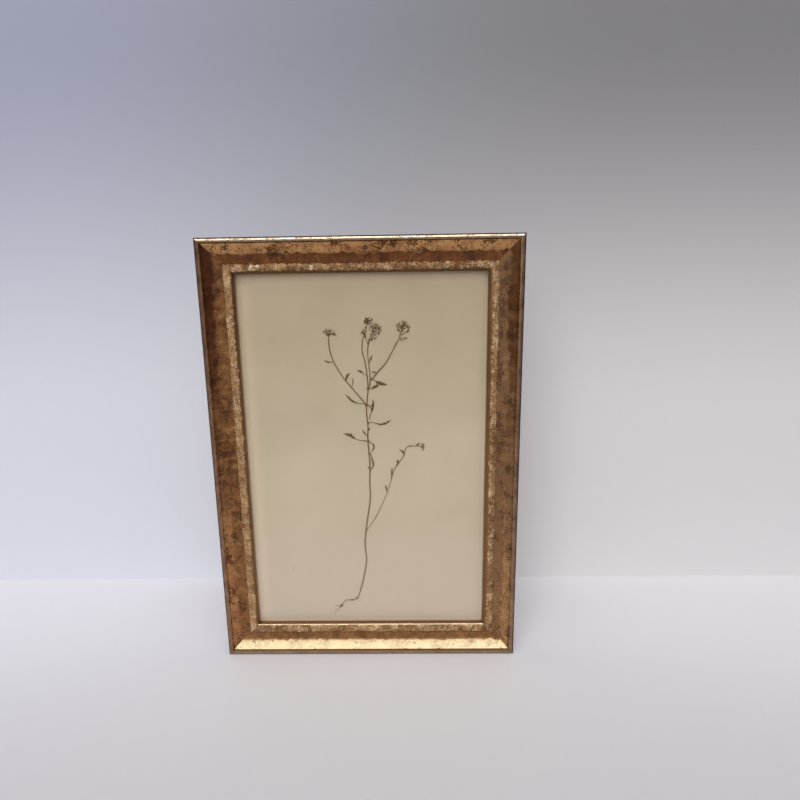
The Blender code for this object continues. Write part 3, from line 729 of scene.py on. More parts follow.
def lay_out_rail_map(mesh, columns, around, profile):
    """Lay the rail's two halves in the image as strips, the face taking most of it."""
    layer = mesh.uv_layers.new(name="OFBake")
    lengths = [0.0]
    for (v, s, _), (next_v, next_s, _) in zip(profile, profile[1:] + profile[:1]):
        lengths.append(lengths[-1] + math.hypot(next_v - v, next_s - s))
    face_end = max(i for i, (v, _, _) in enumerate(profile) if v == FACE_WIDTH) - 1
    side_end = next(i for i, (_, _, across) in enumerate(profile) if across >= 0)
    face_share, margin = 0.31, 0.006

    def band(number):
        """Return the height in the image of one strip's point."""
        if side_end <= number <= face_end:
            share = (lengths[number] - lengths[side_end]) / (lengths[face_end] - lengths[side_end])
            return 0, share
        if number > face_end:
            share = (lengths[number] - lengths[face_end]) / (lengths[-1] - lengths[face_end])
            return 1, share
        return 2, lengths[number] / lengths[side_end]

    heights = {0: (0.0, face_share), 1: (face_share, 0.44), 2: (0.44, 0.5)}
    half = columns // 2
    quads = (columns - 1) * around
    for face in mesh.polygons[:quads]:
        column, spot = divmod(face.index, around)
        row = 0 if column < half else 1
        kind = 0 if side_end <= spot < face_end else (1 if spot >= face_end else 2)
        low, high = heights[kind]
        for loop in face.loop_indices:
            number = mesh.loops[loop].vertex_index
            at_column, at_spot = divmod(number, around)
            if at_spot == 0 and spot == around - 1:
                at_spot = around
            share = band(at_spot)
            up = share[1] if share[0] == kind else (0.0 if at_spot <= spot else 1.0)
            u = (at_column - row * half) / (half if row == 0 else columns - 1 - half)
            layer.data[loop].uv = (
                margin + (1 - 2 * margin) * u,
                row * 0.5 + low + margin + (high - low - 2 * margin) * up)
    for number, face in enumerate(mesh.polygons[quads:]):
        for loop in face.loop_indices:
            v, s, _ = profile[mesh.loops[loop].vertex_index % around]
            layer.data[loop].uv = (
                0.985 + 0.012 * v / FACE_WIDTH, 0.497 + 0.001 * number + 0.002 * s / RAIL_DEPTH)


def make_rail(side, gilding, wood):
    """Make one mitred rail with its worn gilded face and bare wooden back."""
    half_length = SIDES[side][2] / MM / 2
    seed = 40.0 * (1 + list(SIDES).index(side))
    column_gap, mitre_gap = 0.42, 0.04
    pale_loss, loss_start, loss_end = 0.72, 8.8, 12.6
    profile = moulding_profile()
    normals = profile_normals(profile)
    columns = 2 * round(half_length / column_gap) + 1
    finish = RAIL_FINISH[side]
    wood_from = max(i for i, (v, _, _) in enumerate(profile) if v == FACE_WIDTH)

    skin = Skin()
    rings = []
    for column in range(columns):
        fraction = 2 * column / (columns - 1) - 1
        points, painting = [], {}
        for i, (v, s, across) in enumerate(profile):
            along = fraction * (half_length - v - mitre_gap)
            height, cracked, on_bead, on_sight = 0.0, 0.0, 0.0, float(across > FACE_WIDTH - 1)
            if 0 < i < wood_from:
                height, cracked, on_bead, on_sight = face_relief(along, across, seed, finish)
            out_v, out_s = normals[i]
            points.append(((v + out_v * height) * MM, (s + out_s * height) * MM, along * MM))
            umber, painted_shade = umber_cover(along, across, half_length, seed, finish)
            here = dict(finish["painted"], along=along + 7 * seed, across=across,
                        cracks=cracked, bead=on_bead, sight=on_sight, toning=umber, painted_shade=painted_shade)
            # The pale gold, painted highlight on the bottom rail, fades inward across the scoop.
            here["pale"] *= 1 - pale_loss * soft_step(across, loss_start, loss_end)
            for name, value in here.items():
                painting.setdefault(name, []).append(value)
        rings.append(skin.ring(points, **painting))
    skin.tube(rings)
    around = len(profile)
    for number in range((columns - 1) * around):
        if number % around >= wood_from or number % around == around - 1:
            skin.finish[number] = 1
    skin.finish[-2:] = [1, 1]
    rail = skin.make("gilded_rail_" + side, [gilding, wood], sharp_angle=60)
    lay_out_rail_map(rail.data, columns, around, profile)
    rail.data.transform(side_matrix(side))
    return finish_piece(rail, "gilded_moulding", "rail_" + side)


def finish_piece(piece, slot, *nodes):
    """Let a piece ride on the frame and stand for its plain solids."""
    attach(piece, "root")
    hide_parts(*nodes)
    return piece


# ---- glass, paper, board and fittings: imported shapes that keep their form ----

def clear_picture_glass():
    """Plain picture glass that lets the light through to the flower."""
    material, tree, shader = new_material(
        "clear_picture_glass", Base_Color=(0.985, 0.99, 0.985, 1), Roughness=0.0,
        Transmission_Weight=1.0, IOR=1.5)
    open_air = add_node(tree, "ShaderNodeBsdfTransparent", {"Color": (0.94, 0.95, 0.94)})
    light_path = add_node(tree, "ShaderNodeLightPath").outputs
    passing = maths(tree, "MAXIMUM", light_path["Is Shadow Ray"], light_path["Is Diffuse Ray"])
    show_either(tree, passing, shader, open_air)
    return material


def painted_edge_light(tree, place):
    """Return the painted light that brightens the paper where the sight edge shades it."""
    half_width = OUTER_WIDTH / MM / 2 - FACE_WIDTH
    half_height = OUTER_HEIGHT / MM / 2 - FACE_WIDTH
    split = parts_of(tree, place)
    x, up = split["X"], maths(tree, "SUBTRACT", split["Z"], OUTER_HEIGHT / MM / 2)

    def edge_light(value, edge, width, strength):
        """Return the painted light one edge adds to the paper within a width of it."""
        return remap(tree, value, edge - math.copysign(width, edge), edge, 0.0, strength)

    left = maths(tree, "ADD", edge_light(x, -half_width, 14.0, 0.38),
                 edge_light(x, -half_width, 3.6, 0.55))
    right = edge_light(x, half_width, 2.8, 0.55)
    above = maths(tree, "ADD", edge_light(up, half_height, 11.0, 0.80),
                  edge_light(up, half_height, 3.8, 0.65))
    below = edge_light(up, -half_height, 2.0, 0.45)
    return maths(tree, "MAXIMUM", maths(tree, "MAXIMUM", left, right),
                 maths(tree, "MAXIMUM", above, below))


def aged_mount_paper():
    """Warm drawing paper that has yellowed, with fibres, faint foxing and one dark speck."""
    material, tree, shader = new_material("aged_mount_paper", Roughness=0.88)
    place = place_in_mm(tree)
    height = parts_of(tree, place)["Z"]
    paper = uneven_tone(tree, place, 70.0, (0.545, 0.432, 0.286), (0.575, 0.456, 0.306),
                        (0.600, 0.480, 0.328))
    # Painted light falloff: lighter and cooler below 190 mm than above 285 mm.
    paper = blend_colour(tree, remap(tree, height, 285.0, 190.0), paper, (1.12, 1.15, 1.19),
                         kind="MULTIPLY")
    # Painted reflection of the table in the glass: paler and pinker below about 100 mm.
    paper = blend_colour(tree, remap(tree, height, 112.0, 92.0), paper, (0.680, 0.545, 0.420),
                         0.75)
    # Painted light: the paper is brightened along the sight edge, where it lies in shade.
    paper = blend_colour(tree, painted_edge_light(tree, place), paper, (1.58, 1.53, 1.52),
                         kind="MULTIPLY")
    fibres = grain(tree, place, 0.35, 3.0, 0.7)
    paper = blend_colour(tree, remap(tree, fibres, 0.3, 0.75, 0.0, 0.10), paper,
                         (0.36, 0.28, 0.17))
    foxing = flecks(tree, place, 2.2, 60.0, 0.05)
    paper = blend_colour(tree, foxing, paper, (0.38, 0.24, 0.12), 0.10)
    speck_place = (-64.0, SHEET_FRONT_Y / MM, 74.0)
    apart = add_node(tree, "ShaderNodeVectorMath", {0: place, 1: speck_place},
                     operation="DISTANCE").outputs["Value"]
    speck = remap(tree, apart, 0.35, 0.75, 0.8, 0.0)
    paper = blend_colour(tree, speck, paper, (0.16, 0.11, 0.07))
    clothe(tree, shader, paper, fibres, 0.00004)
    return material


def hardboard_back():
    """Brown hardboard, rough and cross-hatched by the press screen on its outer face."""
    material, tree, shader = new_material("hardboard_back", Roughness=0.8)
    place = place_in_mm(tree)
    board = uneven_tone(tree, place, 35.0, (0.130, 0.066, 0.032), (0.185, 0.098, 0.048),
                        (0.235, 0.130, 0.066))
    fibres = flecks(tree, place, 0.9, 6.0, 0.62)
    board = blend_colour(tree, fibres, board, (0.34, 0.21, 0.12), 0.4)
    split = parts_of(tree, place)
    mesh_pitch = 1.1
    waves = [maths(tree, "SINE", times(tree, split[axis], math.tau / mesh_pitch))
             for axis in ("X", "Z")]
    screen = times(tree, maths(tree, "MAXIMUM", *waves), 0.5)
    rough = maths(tree, "ADD", screen, grain(tree, place, 0.6, 3.0))
    clothe(tree, shader, board, rough, 0.00012)
    return material


def bright_metal(name, dark, middle, light, roughness, tarnish):
    """Sheet metal with drifting brightness, tarnish in patches and fine scratches."""
    material, tree, shader = new_material(name, Metallic=1.0)
    place = place_in_mm(tree)
    spots = flecks(tree, place, 0.6, 5.0, 0.5)
    metal = blend_colour(tree, spots, uneven_tone(tree, place, 3.0, dark, middle, light),
                         tarnish, 0.6)
    split = parts_of(tree, place)
    scratches = streaks(tree, split["X"], split["Z"], 7.0, 0.12)
    rough = maths(tree, "MULTIPLY_ADD", scratches, 0.2, roughness)
    tree.links.new(rough, shader.inputs["Roughness"])
    clothe(tree, shader, metal, maths(tree, "SUBTRACT", scratches, spots), 0.00003)
    return material


def dress_packed_nodes():
    """Give the flat sheets and the small fittings their finishes and soft edges."""
    steel = bright_metal("zinc_tab_steel", (0.42, 0.43, 0.43), (0.58, 0.59, 0.58),
                         (0.72, 0.73, 0.72), 0.26, (0.20, 0.17, 0.14))
    brass = bright_metal("brassed_hanger_steel", (0.50, 0.34, 0.13), (0.66, 0.47, 0.20),
                         (0.78, 0.60, 0.30), 0.24, (0.22, 0.12, 0.05))
    nail = bright_metal("nail_steel", (0.33, 0.33, 0.34), (0.48, 0.48, 0.49),
                        (0.60, 0.60, 0.60), 0.30, (0.19, 0.10, 0.06))
    finishes = {
        "glass_pane": (clear_picture_glass(), "clear_glass"),
        "mount_sheet": (aged_mount_paper(), "mount_paper"),
        "backing_board": (hardboard_back(), "hardboard"),
        "hanger_plate": (brass, "hanger_brass"),
        "hanger_nail_1": (nail, "nail_steel"),
        "hanger_nail_2": (nail, "nail_steel"),
    }
    finishes.update({name: (steel, "tab_steel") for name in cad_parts
                     if name.startswith("tab_")})
    for name, (material, slot) in finishes.items():
        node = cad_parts[name]
        node.data.materials.clear()
        node.data.materials.append(material)
        if name.startswith("tab_") or name == "hanger_plate":
            edge = node.modifiers.new("soft_edge", "BEVEL")
            edge.width = 0.00012
            edge.segments = 2
            edge.limit_method = "ANGLE"


# ---- finishes of the plant ----

def dry_matter(name, *values):
    """Return a matt material, its tree and shader, and some values painted on its mesh."""
    material, tree, shader = new_material(name, Roughness=0.75, Specular_IOR_Level=0.06)
    return material, tree, shader, [painted(tree, value) for value in values]


def dried_stalk():
    """Ridged dry stalk: purplish brown with paler fibres along it."""
    material, tree, shader, (along, around, pale) = dry_matter("dried_stalk", "along", "around",
                                                               "pale")
    body = uneven_tone(tree, vector_of(tree, along, around), 6.0, (0.094, 0.046, 0.008),
                       (0.168, 0.090, 0.016), (0.255, 0.150, 0.036))
    fibres = streaks(tree, along, around, 5.0, 0.35)
    body = blend_colour(tree, fibres, body, (0.28, 0.158, 0.055), 0.45)
    # Paler where faded; on the lower main stem this is also painted reflection.
    body = blend_colour(tree, pale, body, (0.48, 0.355, 0.220), 0.85)
    clothe(tree, shader, body, fibres, 0.00006)
    return material


def dried_leaf():
    """Dry olive-brown leaf with a darker midrib and veins."""
    material, tree, shader, (along, across, pale) = dry_matter("dried_leaf", "along", "across",
                                                               "pale")
    body = uneven_tone(tree, vector_of(tree, along, across), 1.6, (0.082, 0.050, 0.009),
                       (0.156, 0.101, 0.021), (0.245, 0.170, 0.050))
    offset = maths(tree, "ABSOLUTE", across)
    slanted = maths(tree, "SUBTRACT", along, times(tree, offset, 1.2))
    veins = streaks(tree, offset, slanted, 3.0, 0.28)
    body = blend_colour(tree, veins, body, (0.035, 0.020, 0.009), 0.4)
    midrib = remap(tree, offset, 0.06, 0.20, 0.65, 0.0)
    body = blend_colour(tree, midrib, body, (0.20, 0.122, 0.040))
    body = blend_colour(tree, pale, body, (0.36, 0.275, 0.142))
    clothe(tree, shader, body, veins, 0.00005)
    return material


def dried_bud():
    """Dark closed buds and sepals, nearly black at the tip."""
    material, tree, shader, (along, around) = dry_matter("dried_bud", "along", "around")
    body = uneven_tone(tree, vector_of(tree, along, around), 0.9, (0.042, 0.020, 0.004),
                       (0.098, 0.050, 0.008), (0.178, 0.105, 0.022))
    ribs = streaks(tree, along, around, 2.0, 0.2)
    body = blend_colour(tree, ribs, body, (0.16, 0.098, 0.036), 0.4)
    clothe(tree, shader, body, ribs, 0.00005)
    return material


def faded_petal():
    """Papery petals, from whitish to light brown, with fine veins."""
    material, tree, shader, (along, across, pale) = dry_matter("faded_petal", "along", "across",
                                                               "pale")
    body = uneven_tone(tree, vector_of(tree, along, across), 1.4, (0.150, 0.090, 0.022),
                       (0.250, 0.163, 0.052), (0.370, 0.262, 0.115))
    body = blend_colour(tree, pale, body, (0.66, 0.56, 0.44))
    veins = streaks(tree, along, across, 1.6, 0.14)
    body = blend_colour(tree, veins, body, (0.12, 0.075, 0.035), 0.22)
    clothe(tree, shader, body, veins, 0.00004)
    return material


# ---- the plant's shapes ----

# Each stalk: its route, from its base, and its width at base and tip.
STALKS = {
    "main_stem": ([
        (-31.5, 31.0), (-28.0, 35.6), (-24.6, 39.2), (-22.2, 42.8), (-19.6, 44.4),
        (-15.0, 44.4), (-10.6, 46.6), (-8.4, 52.0), (-6.0, 60.5), (-3.8, 71.0),
        (-2.2, 80.5), (-2.5, 88.0), (-3.0, 97.0), (-1.9, 107.5), (-0.8, 116.0),
        (0.8, 125.5), (2.4, 137.5), (2.3, 150.0), (2.8, 164.0), (2.2, 178.0),
        (1.6, 187.5), (2.1, 197.0), (1.2, 209.0), (2.0, 219.0), (2.9, 229.0),
        (2.1, 240.0), (0.9, 249.0), (-1.0, 257.0), (-0.6, 264.5), (0.2, 267.4)], 1.22, 0.72),
    "second_stem": ([
        (4.4, 229.6), (4.7, 236.0), (4.2, 245.0), (3.3, 255.0), (3.7, 260.6),
        (5.0, 265.2)], 0.85, 0.62),
    "left_branch": ([
        (-0.5, 216.9), (-5.0, 222.4), (-10.2, 228.8), (-16.2, 236.4), (-20.6, 243.6),
        (-23.9, 250.2), (-26.2, 258.6), (-26.6, 267.0)], 0.84, 0.68),
    "right_branch": ([
        (6.7, 235.9), (8.8, 238.2), (11.8, 241.8), (17.4, 248.0), (21.8, 255.6),
        (25.4, 262.4), (28.0, 266.6)], 0.88, 0.70),
    "low_branch": ([
        (0.4, 110.8), (4.6, 116.6), (8.6, 123.8), (12.4, 131.8), (16.2, 141.0),
        (19.8, 151.8), (22.4, 160.4), (25.6, 165.8), (29.4, 171.0), (31.8, 178.0),
        (35.0, 180.5), (39.0, 180.3), (42.4, 180.7)], 0.66, 0.55),
}

# Short lengths that join a stalk to what it grows from.
SIDE_SHOOTS = {
    "main_stem": [
        [(1.2, 213.6), (0.4, 215.2), (-0.5, 216.9)],
        [(0.2, 267.4), (0.9, 268.2), (1.5, 269.2)],
        [(-24.6, 39.2), (-27.6, 38.6), (-30.4, 39.6)],
    ],
    "second_stem": [[(3.0, 227.2), (4.0, 228.2), (4.4, 229.6)]],
    "right_branch": [[(4.3, 231.4), (4.8, 233.4), (5.6, 234.6), (6.7, 235.9)]],
    "low_branch": [[(-1.3, 108.6), (-0.4, 109.6), (0.4, 110.8)]],
}

# Swollen joints of a stalk, each as (x, z, reach, angle).
KNOBS = {
    "main_stem": [(-15.4, 44.4, 1.2, 5), (-10.9, 46.4, 1.2, 45), (1.9, 185.0, 1.5, 95),
                  (2.2, 199.9, 1.2, 92), (1.3, 214.4, 1.5, 80), (2.8, 227.6, 1.4, 80),
                  (2.7, 174.6, 1.1, 90), (1.7, 162.7, 0.9, 150), (3.0, 160.4, 1.0, 80),
                  (-1.6, 108.6, 1.1, 80)],
    "low_branch": [(24.5, 164.6, 1.1, 60), (30.5, 173.2, 1.0, 80), (35.6, 180.4, 0.9, 0),
                   (20.0, 153.6, 0.8, 70)],
    "right_branch": [(6.7, 235.2, 0.6, 45), (9.4, 239.4, 0.7, 50), (25.3, 262.3, 0.8, 60)],
}

# Each leaf: its midrib from the base, its greatest width, how far up its blade starts,
# and its teeth, each as a share of the length, a side and a reach.
LEAVES = {
    "leaf_left_branch_tip": (
        [(-24.2, 248.8), (-25.4, 248.8), (-27.4, 248.8), (-29.2, 249.4), (-30.7, 250.5)],
        1.3, 0.25, []),
    "leaf_left_branch_upper": (
        [(-14.2, 233.9), (-13.9, 235.8), (-13.3, 237.6), (-12.4, 238.9), (-11.0, 239.7)],
        1.9, 0.15, []),
    "leaf_left_branch_inner": (
        [(-9.5, 229.4), (-9.1, 231.4), (-8.9, 233.6), (-8.7, 236.2)], 0.9, 0.2, []),
    "leaf_left_branch_foot": (
        [(0.3, 215.2), (-1.6, 215.6), (-4.2, 215.6), (-7.2, 216.4), (-9.4, 217.6),
         (-11.8, 219.4), (-13.6, 221.4), (-15.2, 223.4)],
        1.25, 0.30, [(0.78, -1, 1.0), (0.52, 1, 0.4), (0.90, 1, 0.4)]),
    "leaf_main_upper_left": (
        [(1.4, 238.2), (-0.4, 239.6), (-2.6, 241.1), (-5.3, 242.1)], 1.5, 0.35,
        [(0.66, -1, 0.4)]),
    "leaf_second_stem_upper": (
        [(4.4, 247.8), (5.0, 249.2), (5.7, 251.2), (6.9, 253.8)], 1.3, 0.2, []),
    "leaf_right_branch_foot": (
        [(9.6, 240.1), (8.6, 240.4), (7.4, 240.6), (6.0, 240.9)], 1.4, 0.1, []),
    "leaf_folded_upper": (
        [(6.8, 234.8), (8.6, 233.7), (10.6, 232.2), (13.0, 231.5), (15.4, 230.9),
         (18.0, 230.1)], 2.5, 0.22, [(0.50, 1, 0.7), (0.70, -1, 0.4)]),
    "leaf_folded_lower": (
        [(3.4, 227.0), (5.0, 227.3), (7.4, 228.4), (9.6, 229.6), (11.0, 231.3)],
        1.9, 0.25, [(0.80, -1, 1.5), (0.55, 1, 0.4)]),
    "leaf_curled_foot": (
        [(1.6, 215.0), (2.9, 214.2), (4.2, 212.6), (5.2, 210.6)], 0.8, 0.1, []),
    "leaf_curled": (
        [(3.5, 202.6), (3.7, 205.0), (4.5, 207.4), (5.4, 209.6), (6.2, 212.6),
         (6.7, 215.8), (6.4, 219.0)], 1.7, 0.35, [(0.70, 1, 1.3)]),
    "leaf_toothed_right": (
        [(2.4, 200.0), (4.6, 200.0), (7.6, 199.7), (11.0, 198.7), (14.4, 198.7),
         (17.4, 199.7), (20.9, 202.4)], 1.25, 0.30,
        [(0.66, 1, 1.3), (0.83, 1, 1.5), (0.50, -1, 0.3)]),
    "leaf_stub_left": (
        [(0.9, 188.9), (0.0, 190.4), (-1.2, 191.9), (-1.6, 192.8), (-2.5, 194.2)],
        1.2, 0.2, []),
    "leaf_stub_right": ([(2.2, 193.4), (2.9, 194.4), (3.8, 195.8)], 1.0, 0.1, []),
    "leaf_left_middle": (
        [(1.6, 184.4), (-1.0, 184.9), (-4.8, 185.5), (-8.0, 186.7), (-10.8, 188.6),
         (-13.8, 190.3), (-18.0, 191.3)], 2.1, 0.48,
        [(0.72, -1, 1.0), (0.82, 1, 0.4), (0.12, -1, 0.9)]),
    "leaf_twisted_upper": (
        [(2.6, 184.4), (4.2, 183.2), (5.8, 182.0), (6.4, 180.2), (5.9, 178.4),
         (4.9, 176.8), (4.1, 175.3)], 1.2, 0.2, [(0.10, -1, 0.7), (0.32, 1, 0.4)]),
    "leaf_twisted_lower": (
        [(3.5, 174.8), (4.1, 172.2), (4.7, 169.4), (5.5, 166.4), (5.6, 164.8),
         (4.9, 162.6), (3.1, 160.2)], 1.4, 0.15, []),
    "leaf_low_branch_first": ([(16.0, 141.4), (15.8, 143.4), (15.5, 145.4), (14.8, 147.8)],
                              1.3, 0.2, []),
    "leaf_low_branch_second": ([(20.0, 153.4), (20.2, 156.4), (20.5, 159.6), (20.7, 162.6)],
                               1.2, 0.2, []),
    "leaf_low_branch_third": ([(24.6, 164.6), (25.2, 166.2), (25.4, 167.6), (24.9, 169.0)],
                              1.9, 0.3, []),
    "leaf_low_branch_curved": ([(30.5, 172.4), (30.4, 174.0), (29.6, 175.5), (28.4, 176.5),
                                (26.4, 177.4)], 1.3, 0.1, []),
}

# Leaves that have faded almost to the colour of the paper, and how far.
FADED_LEAVES = {"leaf_left_branch_tip": 0.25, "leaf_left_branch_inner": 0.45,
                "leaf_right_branch_foot": 0.30, "leaf_second_stem_upper": 0.15}

